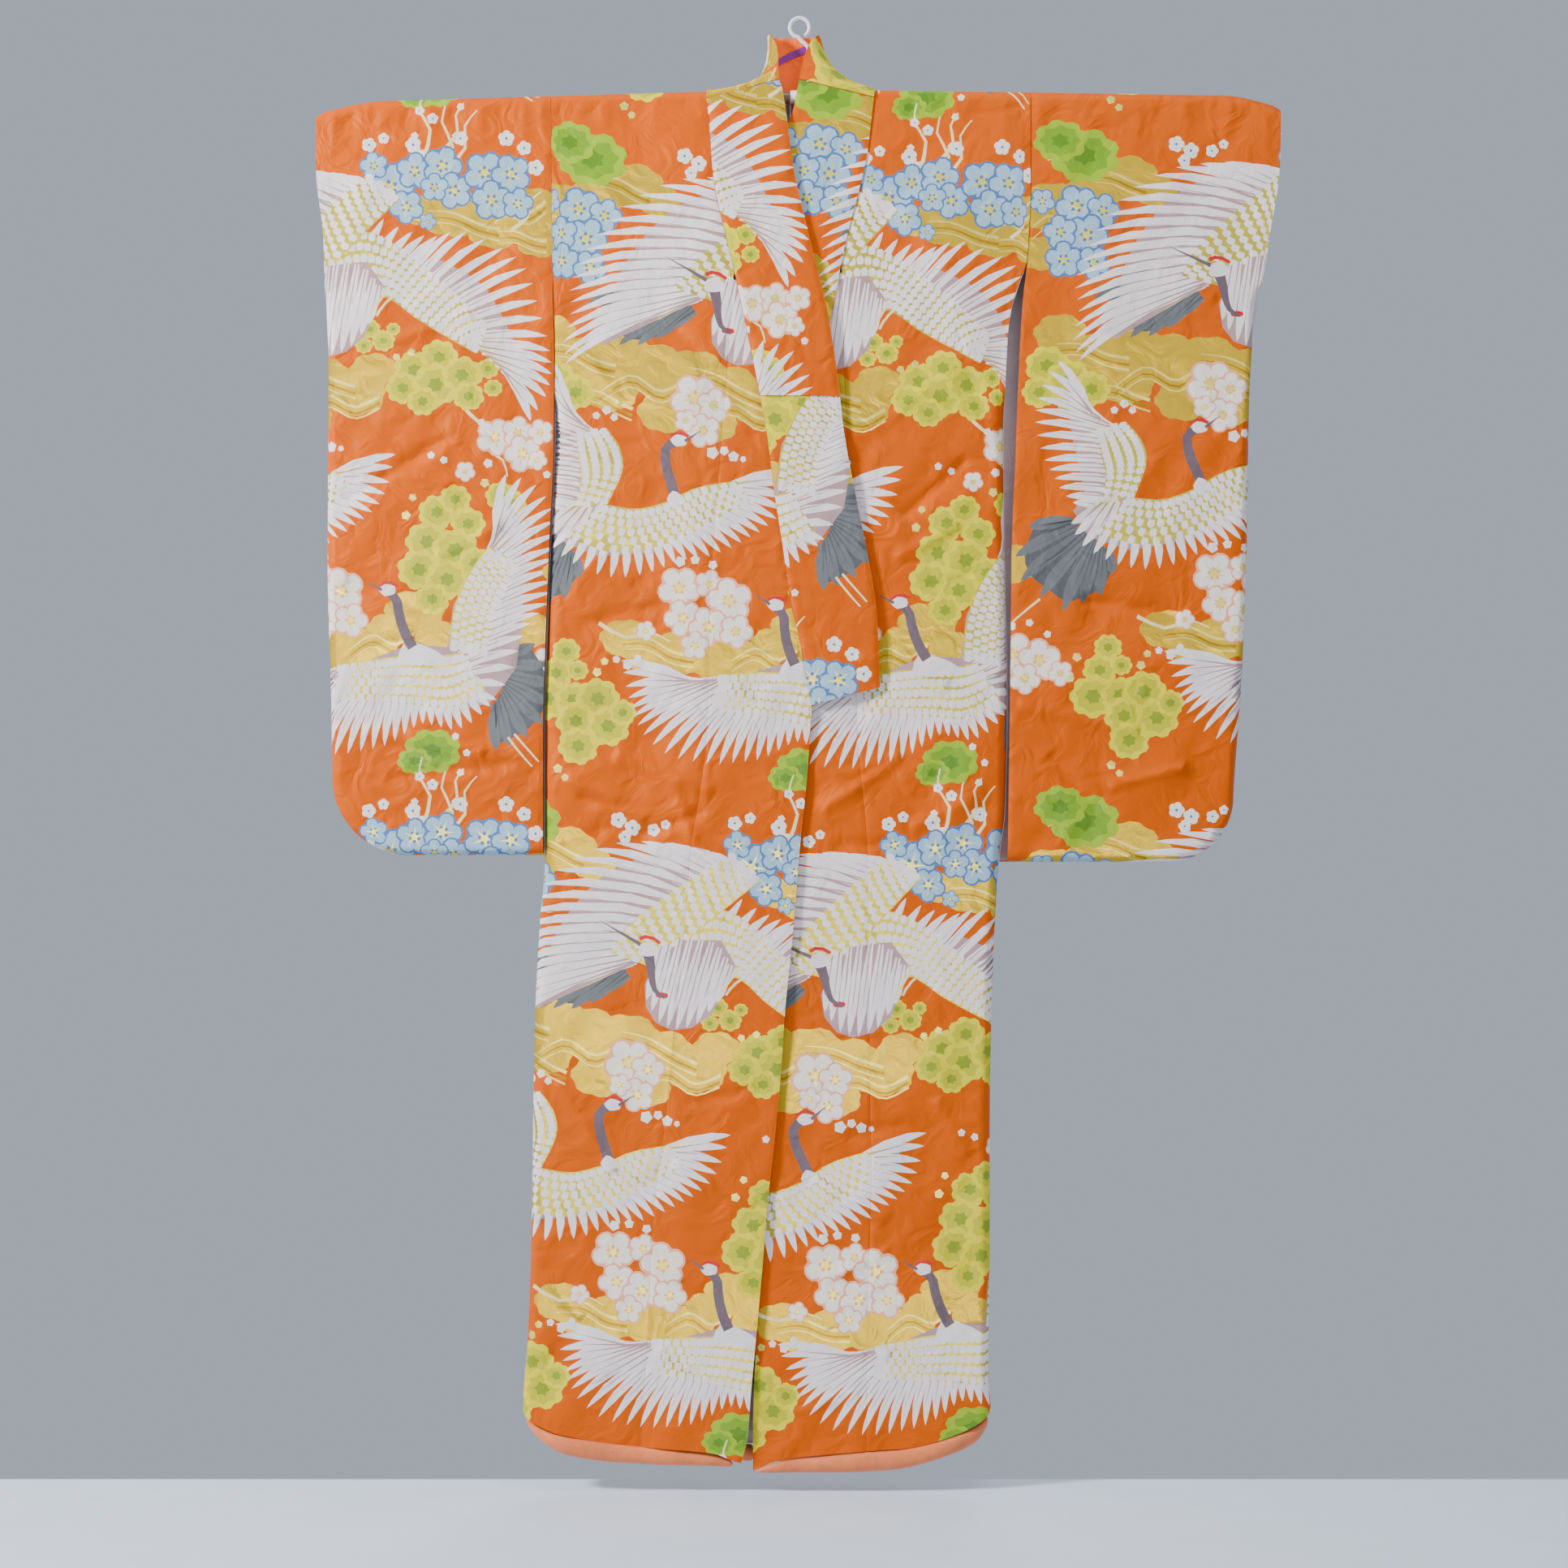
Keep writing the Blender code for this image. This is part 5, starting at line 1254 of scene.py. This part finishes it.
def body(node, side, outward, side_edge, middle_edge, hem, extra):
    """Front or back of a body length, closed to its other half below the side opening."""
    spare = (math.pi / 2 - 1) * SIDE_ROLL
    neck_x = (LEFT_COLLAR if outward < 0 else RIGHT_COLLAR)[0][0] + outward * NECK_GAP

    def place(u, v):
        drop, row_lift = over_shoulder(u, v)
        x, lift = u, 1.0
        closed = ease(drop, SIDE_SEAM_START, SIDE_SEAM_START + CLOSING_LENGTH)
        outside = side_edge(drop) - outward * SIDE_ROLL
        over = (u - outside) * outward
        if over > 0:
            turn, lift = rolled(over, SIDE_ROLL)
            x = outside + outward * mix(over * 2 / math.pi, turn, closed)
        lifted = min(1 - closed * (1 - lift), row_lift)
        depth = half_depth(x, drop, side) + extra(x, drop)
        depth -= edge_dip(abs(u - middle_edge(drop)))
        return set_down(x, drop, side, lifted * depth)

    def top(x):
        fold = shoulder(x) - (math.pi / 2 - 1) * FOLD_RADIUS
        if side == FRONT:
            return fold
        return mix(NECK_EDGE_DROP, fold,
                   ease((x - neck_x) * outward, NECK_TURN_FROM, NECK_TURN_TO))

    outline = walk(middle_edge, lambda drop: side_edge(drop) + outward * spare, top, hem)
    cloth_piece(node, outline, place, side)


def front_middle(collar_x, gore_x, inward):
    """Inner edge of a front: the collar seam above the gore, the gore seam below."""
    def edge(drop):
        if drop < gore_x.keys[0]:
            return collar_x(drop) - inward * SEAM_GAP
        return gore_x(drop) - inward * HALF_GAP

    return edge


def gore(node, inward, collar_x, gore_x, edge_x, hem, extra):
    """A front gore, from its point under the collar down to the hem."""
    def inner(drop):
        return (collar_x if drop < edge_x.keys[0] else edge_x)(drop) - inward * SEAM_GAP

    def outer(drop):
        return gore_x(drop) + inward * HALF_GAP

    def place(u, v):
        depth = half_depth(u, v, FRONT) + extra(u, v)
        depth -= edge_dip(min(abs(u - inner(v)), abs(u - outer(v))))
        return set_down(u, v, FRONT, depth)

    point = gore_x.keys[0] + GORE_POINT
    cloth_piece(node, walk(inner, outer, lambda x: point, hem), place, FRONT, True)


def collar(node, rows, extra, last, proud):
    """A stretch of folded collar that lies on a front, thick and round at its long edges."""
    seam, free = Line(rows, 0, 1), Line(rows, 2, 3)

    def place(u, v):
        away = min(abs(u - seam(v)), abs(u - free(v)))
        rounding = COLLAR_ROUND * math.exp(-(away / COLLAR_ROUND_REACH) ** 2)
        depth = half_depth(u, v, FRONT) + extra(u, v) + proud - rounding
        return set_down(u, v, FRONT, depth)

    count = round(last * COLLAR_ROWS_EACH)
    crossings = [row_at(rows, last * number / count) for number in range(count + 1)]
    steps = [number / COLLAR_END_STEPS for number in range(1, COLLAR_END_STEPS)]
    outline = [row[:2] for row in crossings]
    outline += [between(crossings[-1][:2], crossings[-1][2:], t) for t in steps]
    outline += [row[2:] for row in reversed(crossings)]
    outline += [between(crossings[0][2:], crossings[0][:2], t) for t in steps]
    cloth_piece(node, outline, place, FRONT, True)


def neck_point(place, across):
    """A point of the neck collar's inner face, in millimetres."""
    values = row_at(NECK_COLLAR, place)
    u, v = across, 1 - across
    x, drop, y = (v * v * s + 2 * u * v * b + u * u * f
                  for s, b, f in zip(values[0:3], values[3:6], values[6:9]))
    return Vector((x, y, -drop))


def neck_outward(place, across):
    """Direction from the neck collar's inner face away from the hook's stem."""
    here = neck_point(place, across)
    run = neck_point(place + NEXT_ROW, across) - here
    return (neck_point(place, across + NEXT_ACROSS) - here).cross(run).normalized()


def neck_collar():
    """The collar round the back of the neck: brocade outside, plain silk inside."""
    last = len(NECK_COLLAR) - 1

    def place(u, v):
        station, across = u / NECK_STEP, v / NECK_DEPTH
        return neck_point(station, across) + neck_outward(station, across) * NECK_CLOTH

    low, high = NECK_END * NECK_STEP, (last - NECK_END) * NECK_STEP
    outline = [(u, 0.0) for u in spaced(low, high)] + [(high, v) for v in spaced(0.0, NECK_DEPTH)]
    outline += [(u, NECK_DEPTH) for u in spaced(high, low)]
    outline += [(low, v) for v in spaced(NECK_DEPTH, 0.0)]
    cloth_piece("collar_neck", outline, place, -1,
                inside="neck lining")


def bar(name, start, end, radius, sides):
    """A round bar between two points in the middle plane, its end edges rounded."""
    axis = Vector((end[0] - start[0], 0, start[1] - end[1]))
    mesh = bmesh.new()
    bmesh.ops.create_cone(mesh, cap_ends=True, segments=sides, radius1=radius * MM,
                          radius2=radius * MM, depth=axis.length * MM)
    rims = [edge for edge in mesh.edges
            if len({abs(face.normal.z) > 0.5 for face in edge.link_faces}) == 2]
    bmesh.ops.bevel(mesh, geom=rims, offset=BAR_EDGE * MM, segments=3, profile=0.5,
                    affect="EDGES", material=-1)
    turn = axis.to_track_quat("Z", "Y").to_matrix().to_4x4()
    bmesh.ops.transform(mesh, matrix=turn, verts=mesh.verts)
    middle = Vector(((start[0] + end[0]) / 2, 0, -(start[1] + end[1]) / 2)) * MM
    bmesh.ops.translate(mesh, vec=middle, verts=mesh.verts)
    return finished(name, mesh)


def finished(name, mesh):
    """Turns a bmesh into a smooth object at the origin."""
    bmesh.ops.recalc_face_normals(mesh, faces=mesh.faces)
    data = bpy.data.meshes.new(name)
    mesh.to_mesh(data)
    mesh.free()
    data.shade_smooth()
    data.set_sharp_from_angle(angle=math.radians(SHARP_FROM))
    thing = bpy.data.objects.new(name, data)
    bpy.context.scene.collection.objects.link(thing)
    return thing


def in_place_of(thing, node, material):
    """Gives a piece its material, and has it stand for its solid."""
    thing.data.materials.append(material)
    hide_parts(node)
    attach(thing, "root")


def rod_drop(x):
    """Drop of the rod's centre line, just under the folded cloth."""
    return SHOULDER_DROP + (LEFT_ARM_FALL if x < 0 else RIGHT_ARM_FALL) * abs(x) + ROD_BELOW


def tube(name, line, radius, sides):
    """A round wire along a line in the middle plane, its ends domed."""
    mesh = bmesh.new()
    before = None
    count = len(line)
    for number, (x, drop) in enumerate(line):
        ahead, behind = line[min(number + 1, count - 1)], line[max(number - 1, 0)]
        run = Vector((ahead[0] - behind[0], 0, behind[1] - ahead[1])).normalized()
        ring = bmesh.ops.create_circle(mesh, cap_ends=False, radius=radius * MM, segments=sides)
        for point in ring["verts"]:
            across = run.cross(Vector((0, 1, 0))) * point.co.x
            point.co = Vector((x * MM, point.co.y, -drop * MM)) + across
        edges = list({edge for point in ring["verts"] for edge in point.link_edges})
        if before:
            bmesh.ops.bridge_loops(mesh, edges=before + edges)
        before = edges
        if number in (0, count - 1):
            cap = bmesh.ops.contextual_create(mesh, geom=edges)["faces"]
            bmesh.ops.inset_region(mesh, faces=cap, thickness=radius * DOME * MM, depth=0.0)
            out = -run if number == 0 else run
            bmesh.ops.translate(mesh, vec=out * radius * DOME * MM,
                                verts=list({v for face in cap for v in face.verts}))
    bmesh.ops.remove_doubles(mesh, verts=mesh.verts, dist=1e-6)
    return finished(name, mesh)


def hem_roll(node, sections, side):
    """A padded roll below the hem, puckered by the stitches that hold its padding."""
    mesh = bmesh.new()
    count = ROLL_ROWS * (len(sections) - 1)
    before = None
    for number in range(count + 1):
        x, top, foot, half = row_at(sections, number / ROLL_ROWS)
        top -= ROLL_TUCK
        end = min(x - LEFT_SIDE_X(top), RIGHT_SIDE_X(top) - x)
        middle = mix(half + HALF_GAP + ROLL_CLEARANCE, half_depth(x, top, side) - ROLL_BEHIND,
                     ease(end, ROLL_END_FROM, ROLL_END_TO))
        ring = bmesh.ops.create_circle(mesh, cap_ends=False, radius=1.0, segments=ROLL_SIDES)
        closing = ROLL_END_SIZE if number in (0, count) else 1.0
        pucker = 1 + sum(height * math.sin(x * pace + shift * side)
                         for height, pace, shift in PUCKERS)
        for point in ring["verts"]:
            turn = math.atan2(point.co.y, point.co.x)
            soft = closing * (pucker if abs(point.co.y) < PUCKERS_WITHIN else 1.0)
            wave = ROLL_WAVE * math.sin(ROLL_WAVES * turn + x * ROLL_WAVE_PACE)
            y = side * middle + half * point.co.x * (soft - ROLL_SLACK + wave)
            drop = (top + foot) / 2 - (foot - top) / 2 * point.co.y * closing
            point.co = Vector((x, y, -drop)) * MM
        edges = list({edge for point in ring["verts"] for edge in point.link_edges})
        if before:
            bmesh.ops.bridge_loops(mesh, edges=before + edges)
        if number in (0, count):
            bmesh.ops.contextual_create(mesh, geom=edges)
        before = edges
    roll = finished(node + "_padded", mesh)
    color = tuple(bpy.context.scene.kimono_cloth.padding_color)
    in_place_of(roll, node, silk("salmon silk", color, 0.5, 120.0, 0.8))


def ribbon():
    """The purple ribbon that lies slantwise inside the neck."""
    mesh = bmesh.new()
    bmesh.ops.create_grid(mesh, x_segments=RIBBON_ACROSS, y_segments=RIBBON_ALONG, size=0.5)
    for point in mesh.verts:
        t, u = point.co.y + 0.5, point.co.x + 0.5
        station = mix(RIBBON_FROM, RIBBON_TO, t)
        across = mix(RIBBON_LOW, RIBBON_HIGH, t) + RIBBON_WIDTH * u
        here = neck_point(station, across)
        inset = RIBBON_INSET + RIBBON_WAVE * math.sin(t * RIBBON_PACE)
        point.co = (here - neck_outward(station, across) * inset) * MM
    bmesh.ops.solidify(mesh, geom=mesh.faces[:], thickness=RIBBON_WALL * MM)
    in_place_of(finished("neck_ribbon_silk", mesh), "neck_ribbon",
                silk("ribbon silk", (0.20, 0.02, 0.26)))


def new_material(name, roughness, metallic=0.0, sheen=0.0):
    """A principled material and the helpers that add and join its nodes."""
    material = bpy.data.materials.new(name)
    material.use_nodes = True
    nodes, links = material.node_tree.nodes, material.node_tree.links
    shader = nodes["Principled BSDF"]
    shader.inputs["Roughness"].default_value = roughness
    shader.inputs["Metallic"].default_value = metallic
    shader.inputs["Sheen Weight"].default_value = sheen
    shader.inputs["Specular IOR Level"].default_value = 0.35

    def add(kind, **values):
        node = nodes.new(kind)
        for key, value in values.items():
            if hasattr(node, key):
                setattr(node, key, value)
            else:
                node.inputs[key.replace("_", " ")].default_value = value
        return node

    return material, shader, add, links.new


def weave_height(add, join, coarse, fine):
    """The height of a weave: ribs across the cloth, broken up by uneven threads."""
    place = add("ShaderNodeUVMap", uv_map="cloth")
    ribs = add("ShaderNodeTexWave", wave_type="BANDS", bands_direction="DIAGONAL",
               Scale=coarse, Distortion=1.4, Detail=2.0, Detail_Scale=3.0)
    threads_noise = add("ShaderNodeTexNoise", Scale=fine, Detail=3.0, Roughness=0.6)
    join(place.outputs[0], ribs.inputs["Vector"])
    join(place.outputs[0], threads_noise.inputs["Vector"])
    blend = add("ShaderNodeMath", operation="ADD")
    join(ribs.outputs["Fac"], blend.inputs[0])
    join(threads_noise.outputs["Fac"], blend.inputs[1])
    return blend.outputs[0], threads_noise.outputs["Fac"], place


# How uneven a dye is: the middle of its flecks, and the strength of its broad patches
FLECK_MIDDLE, PATCH_STRENGTH = 0.62, 0.16

# Plain silk: the ribs' share of its unevenness, and how much of it lightens the colour
RIB_SHARE, LIGHTENED = 0.4, 0.4


def dyed(name, roughness, metallic, sheen, coarse, fine, bump, contrast, shine, tint):
    """Cloth that takes its colour from the dye of its threads, uneven as real thread is."""
    material, shader, add, join = new_material(name, roughness, metallic, sheen)
    shader.inputs["Specular IOR Level"].default_value = shine
    for socket in ("Specular Tint", "Sheen Tint"):
        shader.inputs[socket].default_value = tint + (1.0,)
    height, fleck, place = weave_height(add, join, coarse, fine)
    dye = add("ShaderNodeAttribute", attribute_name="dye")
    patches = add("ShaderNodeTexNoise", Scale=9.0, Detail=2.0)
    join(place.outputs[0], patches.inputs["Vector"])
    uneven = add("ShaderNodeMath", operation="MULTIPLY_ADD")
    join(fleck, uneven.inputs[0])
    uneven.inputs[1].default_value = contrast
    uneven.inputs[2].default_value = 1 - contrast * FLECK_MIDDLE
    slow = add("ShaderNodeMath", operation="MULTIPLY_ADD")
    join(patches.outputs["Fac"], slow.inputs[0])
    slow.inputs[1].default_value = PATCH_STRENGTH
    join(uneven.outputs[0], slow.inputs[2])
    shade = add("ShaderNodeVectorMath", operation="SCALE")
    join(dye.outputs["Color"], shade.inputs[0])
    join(slow.outputs[0], shade.inputs["Scale"])
    join(shade.outputs[0], shader.inputs["Base Color"])
    relief = add("ShaderNodeBump", Strength=bump, Distance=0.0006)
    join(height, relief.inputs["Height"])
    rumple = add("ShaderNodeTexNoise", Scale=26.0, Detail=3.0, Roughness=0.45, Distortion=1.2)
    join(place.outputs[0], rumple.inputs["Vector"])
    soft = add("ShaderNodeBump", Strength=0.6, Distance=0.0075)
    join(rumple.outputs["Fac"], soft.inputs["Height"])
    join(relief.outputs[0], soft.inputs["Normal"])
    join(soft.outputs[0], shader.inputs["Normal"])
    return material


# Threads of the brocade; columns: name, roughness, metal, sheen, ribs, flecks, relief, contrast,
# shine, tint of the shine
CLOTHS = (
    ("satin ground", 0.38, 0.0, 0.05, 260.0, 900.0, 0.35, 0.3, 0.3, (1.0, 0.5, 0.12)),
    ("silk brocading", 0.5, 0.0, 0.1, 420.0, 700.0, 0.6, 0.34, 0.3, (1.0, 0.97, 0.94)),
    ("gold thread", 0.4, 0.55, 0.0, 520.0, 800.0, 0.7, 0.5, 0.5, (1.0, 0.9, 0.6)),
    ("lining silk", 0.5, 0.0, 0.15, 300.0, 900.0, 0.3, 0.2, 0.3, (1.0, 0.95, 1.0)))


def threads():
    """The four materials of the brocade, in the order of the thread kinds."""
    return [bpy.data.materials.get(cloth[0]) or dyed(*cloth) for cloth in CLOTHS]


def silk(name, color, roughness=0.5, rib=160.0, bump=0.5, depth=0.28):
    """Plain silk in one colour with fine ribs and a soft unevenness."""
    found = bpy.data.materials.get(name)
    if found:
        return found
    material, shader, add, join = new_material(name, roughness, 0.0, 0.2)
    place = add("ShaderNodeTexCoord")
    ribs = add("ShaderNodeTexNoise", Scale=rib, Detail=4.0, Roughness=0.6)
    slow = add("ShaderNodeTexNoise", Scale=14.0, Detail=2.0)
    for noise in (ribs, slow):
        join(place.outputs["Object"], noise.inputs["Vector"])
    ramp = add("ShaderNodeValToRGB")
    dark, light = ramp.color_ramp.elements
    dark.position, light.position = 0.3, 0.72
    dark.color = [c * (1 - depth) for c in color] + [1.0]
    light.color = [min(c * (1 + depth * LIGHTENED), 1.0) for c in color] + [1.0]
    total = add("ShaderNodeMath", operation="MULTIPLY_ADD")
    join(ribs.outputs["Fac"], total.inputs[0])
    total.inputs[1].default_value = RIB_SHARE
    rest = add("ShaderNodeMath", operation="MULTIPLY")
    rest.inputs[1].default_value = 1 - RIB_SHARE
    join(slow.outputs["Fac"], rest.inputs[0])
    join(rest.outputs[0], total.inputs[2])
    join(total.outputs[0], ramp.inputs["Fac"])
    join(ramp.outputs["Color"], shader.inputs["Base Color"])
    relief = add("ShaderNodeBump", Strength=bump, Distance=0.0012)
    join(total.outputs[0], relief.inputs["Height"])
    join(relief.outputs[0], shader.inputs["Normal"])
    return material


class KimonoCloth(bpy.types.PropertyGroup):
    """Sizes and colours of the robe."""
    crease_strength: bpy.props.FloatProperty(
        name="Crease strength", description="Height of the finer creases; 1 is as hung",
        default=1.0, min=0.0, max=2.0, subtype="FACTOR")
    thickness: bpy.props.FloatProperty(
        name="Cloth thickness", description="Brocade and lining together",
        default=0.0016, min=0.001, max=0.003, unit="LENGTH", precision=4)
    ground_color: bpy.props.FloatVectorProperty(
        name="Ground color", description="Color of the satin between the figures",
        default=(0.64, 0.092, 0.0), size=3, min=0.0, max=1.0, subtype="COLOR")
    padding_color: bpy.props.FloatVectorProperty(
        name="Hem color", description="Color of the padded hem rolls",
        default=(0.80, 0.2, 0.06), size=3, min=0.0, max=1.0, subtype="COLOR")


class KimonoStage(bpy.types.PropertyGroup):
    """The studio round the robe."""
    camera_distance: bpy.props.FloatProperty(
        name="Camera distance", description="From the camera to the robe's middle plane",
        default=4.0, min=1.0, max=12.0, unit="LENGTH")
    light_strength: bpy.props.FloatProperty(
        name="Light strength", description="Brightness of all the lamps; 1 is daylight soft",
        default=1.0, min=0.0, max=4.0, subtype="FACTOR")
    backdrop_color: bpy.props.FloatVectorProperty(
        name="Backdrop color", description="Color of the floor and of the air behind",
        default=(0.60, 0.68, 0.80), size=3, min=0.0, max=1.0, subtype="COLOR")


class KIMONO_OT_sleeves(bpy.types.Operator):
    """Hang the two sleeves, front and back"""
    bl_idname = "kimono.sleeves"
    bl_label = "Sleeves"

    def execute(self, context):
        def gap(drop):
            return mix(ARMHOLE_GAP, FREE_GAP, ease(drop, ARMHOLE_END, ARMHOLE_END + FREE_BLEND))

        def left_inner(drop):
            return LEFT_SIDE_X(drop) - gap(drop)

        def right_back_inner(drop):
            return RIGHT_SIDE_X(drop) + gap(drop)

        def right_front_inner(drop):
            return max(RIGHT_INNER_X(drop), right_back_inner(drop))

        for name, side, inner in (("front", FRONT, left_inner), ("back", BACK, left_inner)):
            sleeve("sleeve_left_" + name, side, LEFT, inner, LEFT_CUFF_X,
                   LEFT_SLEEVE_BOTTOM, LEFT_SLEEVE_CORNER)
        for name, side, inner in (("front", FRONT, right_front_inner),
                                  ("back", BACK, right_back_inner)):
            sleeve("sleeve_right_" + name, side, RIGHT, inner, RIGHT_CUFF_X,
                   RIGHT_SLEEVE_BOTTOM, RIGHT_SLEEVE_CORNER)
        return {"FINISHED"}


class KIMONO_OT_body(bpy.types.Operator):
    """Hang the fronts, the backs and the front gores"""
    bl_idname = "kimono.body"
    bl_label = "Body"

    def execute(self, context):
        body("body_left_front", FRONT, LEFT, LEFT_SIDE_X,
             front_middle(LEFT_COLLAR_X, LEFT_GORE_X, 1), LEFT_HEM_DROP, lap)
        body("body_right_front", FRONT, RIGHT, RIGHT_SIDE_X,
             front_middle(RIGHT_COLLAR_X, RIGHT_GORE_X, -1), RIGHT_HEM_DROP, no_lap)
        body("body_left_back", BACK, LEFT, LEFT_SIDE_X, lambda drop: CENTRE_X(drop) - SEAM_GAP,
             BACK_HEM_DROP, no_lap)
        body("body_right_back", BACK, RIGHT, RIGHT_SIDE_X,
             lambda drop: CENTRE_X(drop) + SEAM_GAP, BACK_HEM_DROP, no_lap)
        gore("gore_left", 1, LEFT_COLLAR_X, LEFT_GORE_X, LEFT_EDGE_X, LEFT_HEM_DROP, lap)
        gore("gore_right", -1, RIGHT_COLLAR_X, RIGHT_GORE_X, RIGHT_EDGE_X, RIGHT_HEM_DROP,
             no_lap)
        return {"FINISHED"}


class KIMONO_OT_collar(bpy.types.Operator):
    """Lay the collar, its over-collar, the neck stretch and the ribbon"""
    bl_idname = "kimono.collar"
    bl_label = "Collar"

    def execute(self, context):
        for side, rows, extra in (("left", LEFT_COLLAR, lap), ("right", RIGHT_COLLAR, no_lap)):
            collar("collar_" + side, rows, extra, len(rows) - 1, COLLAR_PROUD)
            collar("over_collar_" + side, rows, extra, OVER_COLLAR_ROWS, OVER_COLLAR_PROUD)
        neck_collar()
        ribbon()
        return {"FINISHED"}


class KIMONO_OT_hem(bpy.types.Operator):
    """Add the four padded hem rolls"""
    bl_idname = "kimono.hem"
    bl_label = "Padded hem"

    def execute(self, context):
        for name, sections, side in (("left_front", LEFT_ROLL, FRONT),
                                     ("right_front", RIGHT_ROLL, FRONT),
                                     ("left_back", LEFT_BACK_ROLL, BACK),
                                     ("right_back", RIGHT_BACK_ROLL, BACK)):
            hem_roll("hem_roll_" + name, sections, side)
        return {"FINISHED"}


class KIMONO_OT_hanger(bpy.types.Operator):
    """Make the hanger: two arms in a hub, and the hook"""
    bl_idname = "kimono.hanger"
    bl_label = "Hanger"

    def execute(self, context):
        left, right = HUB_X - HUB_LENGTH / 2, HUB_X + HUB_LENGTH / 2
        wood = silk("rod lacquer", (0.20, 0.10, 0.05), 0.35, 30.0, 0.1, 0.2)
        white = silk("white plastic", (0.78, 0.79, 0.80), 0.3, 40.0, 0.05, 0.05)
        for side, start, end in (("left", LEFT_ARM_END, left - SEAM_GAP),
                                 ("right", right + SEAM_GAP, RIGHT_ARM_END)):
            arm = bar(f"hanger_arm_{side}_rod", (start, rod_drop(start)), (end, rod_drop(end)),
                      ROD_RADIUS, ARM_SIDES)
            in_place_of(arm, "hanger_arm_" + side, wood)
        hub_drop = rod_drop(0.0)
        hub = bar("hanger_hub_sleeve", (left, hub_drop), (right, hub_drop), HUB_RADIUS,
                  HUB_SIDES)
        in_place_of(hub, "hanger_hub", white)
        wire = HOOK_INSIDE_RADIUS + HOOK_WIRE_RADIUS
        turns = [math.radians(mix(HOOK_FROM_ANGLE, HOOK_TO_ANGLE, number / LOOP_STEPS))
                 for number in range(LOOP_STEPS + 1)]
        line = [(wire * math.cos(turn), HOOK_INSIDE_RADIUS - wire * math.sin(turn))
                for turn in turns]
        stem = (line[-1],) + HOOK_CRANK + ((HUB_X, hub_drop - HUB_RADIUS - SEAM_GAP),)
        line += [along(stem, number / STEM_STEPS) for number in range(1, STEM_STEPS + 1)]
        hook = tube("hanger_hook_wire", line, HOOK_WIRE_RADIUS, WIRE_SIDES)
        in_place_of(hook, "hanger_hook", white)
        return {"FINISHED"}


def lamp(name, place, aim, size, power, color):
    """A large soft lamp, turned towards a point."""
    light = bpy.data.lights.new(name, "AREA")
    light.shape, light.size, light.energy, light.color = "DISK", size, power, color
    thing = bpy.data.objects.new(name, light)
    thing.location = place
    thing.rotation_euler = (Vector(aim) - Vector(place)).to_track_quat("-Z", "Y").to_euler()
    bpy.context.scene.collection.objects.link(thing)


class KIMONO_OT_stage(bpy.types.Operator):
    """Set the floor, the lamps and the camera"""
    bl_idname = "kimono.stage"
    bl_label = "Stage"

    def execute(self, context):
        setting = context.scene.kimono_stage
        mesh = bmesh.new()
        bmesh.ops.create_grid(mesh, x_segments=1, y_segments=1, size=0.5)
        bmesh.ops.scale(mesh, vec=(FLOOR_WIDTH, FLOOR_LENGTH, 1.0), verts=mesh.verts)
        bmesh.ops.translate(mesh, vec=(0.0, FLOOR_BACK - FLOOR_LENGTH / 2, FLOOR_Z),
                            verts=mesh.verts)
        floor = finished("studio_floor", mesh)
        floor.data.materials.append(silk("floor paper", tuple(setting.backdrop_color), 0.8,
                                         8.0, 0.02, 0.04))
        world = bpy.data.worlds.new("studio air")
        world.use_nodes = True
        air = world.node_tree.nodes["Background"]
        air.inputs["Color"].default_value = tuple(setting.backdrop_color) + (1.0,)
        air.inputs["Strength"].default_value = AIR_STRENGTH
        context.scene.world = world
        for name, place, aim, size, power, color in LAMPS:
            lamp(name, place, aim, size, power * setting.light_strength, color)
        camera = bpy.data.objects.new("camera", bpy.data.cameras.new("camera"))
        camera.data.sensor_width = SENSOR_WIDTH
        camera.data.lens = LENS_PER_METRE * setting.camera_distance
        camera.location = (VIEW_X, -setting.camera_distance, VIEW_Z)
        camera.rotation_euler = (math.pi / 2, 0.0, 0.0)
        context.scene.collection.objects.link(camera)
        context.scene.camera = camera
        return {"FINISHED"}


class KIMONO_PT_pieces(bpy.types.Panel):
    """Lists the kimono's pieces and its settings"""
    bl_label = "Kimono"
    bl_idname = "KIMONO_PT_pieces"
    bl_space_type = "VIEW_3D"
    bl_region_type = "UI"
    bl_category = "Kimono"

    def draw(self, context):
        for group, names in ((context.scene.kimono_cloth, CLOTH_SETTINGS),
                             (context.scene.kimono_stage, STAGE_SETTINGS)):
            for name in names:
                self.layout.prop(group, name)
        for step in STEPS:
            self.layout.operator("kimono." + step)


CLOTH_SETTINGS = ("crease_strength", "thickness", "ground_color", "padding_color")
STAGE_SETTINGS = ("camera_distance", "light_strength", "backdrop_color")
STEPS = ("sleeves", "body", "collar", "hem", "hanger", "stage")
CLASSES = (KimonoCloth, KimonoStage, KIMONO_OT_sleeves, KIMONO_OT_body, KIMONO_OT_collar,
           KIMONO_OT_hem, KIMONO_OT_hanger, KIMONO_OT_stage, KIMONO_PT_pieces)


def register():
    for one in CLASSES:
        bpy.utils.register_class(one)
    bpy.types.Scene.kimono_cloth = bpy.props.PointerProperty(type=KimonoCloth)
    bpy.types.Scene.kimono_stage = bpy.props.PointerProperty(type=KimonoStage)


def unregister():
    del bpy.types.Scene.kimono_stage
    del bpy.types.Scene.kimono_cloth
    for one in reversed(CLASSES):
        bpy.utils.unregister_class(one)


def main():
    register()
    for step in STEPS:
        getattr(bpy.ops.kimono, step)()


if __name__ == "__main__":
    main()
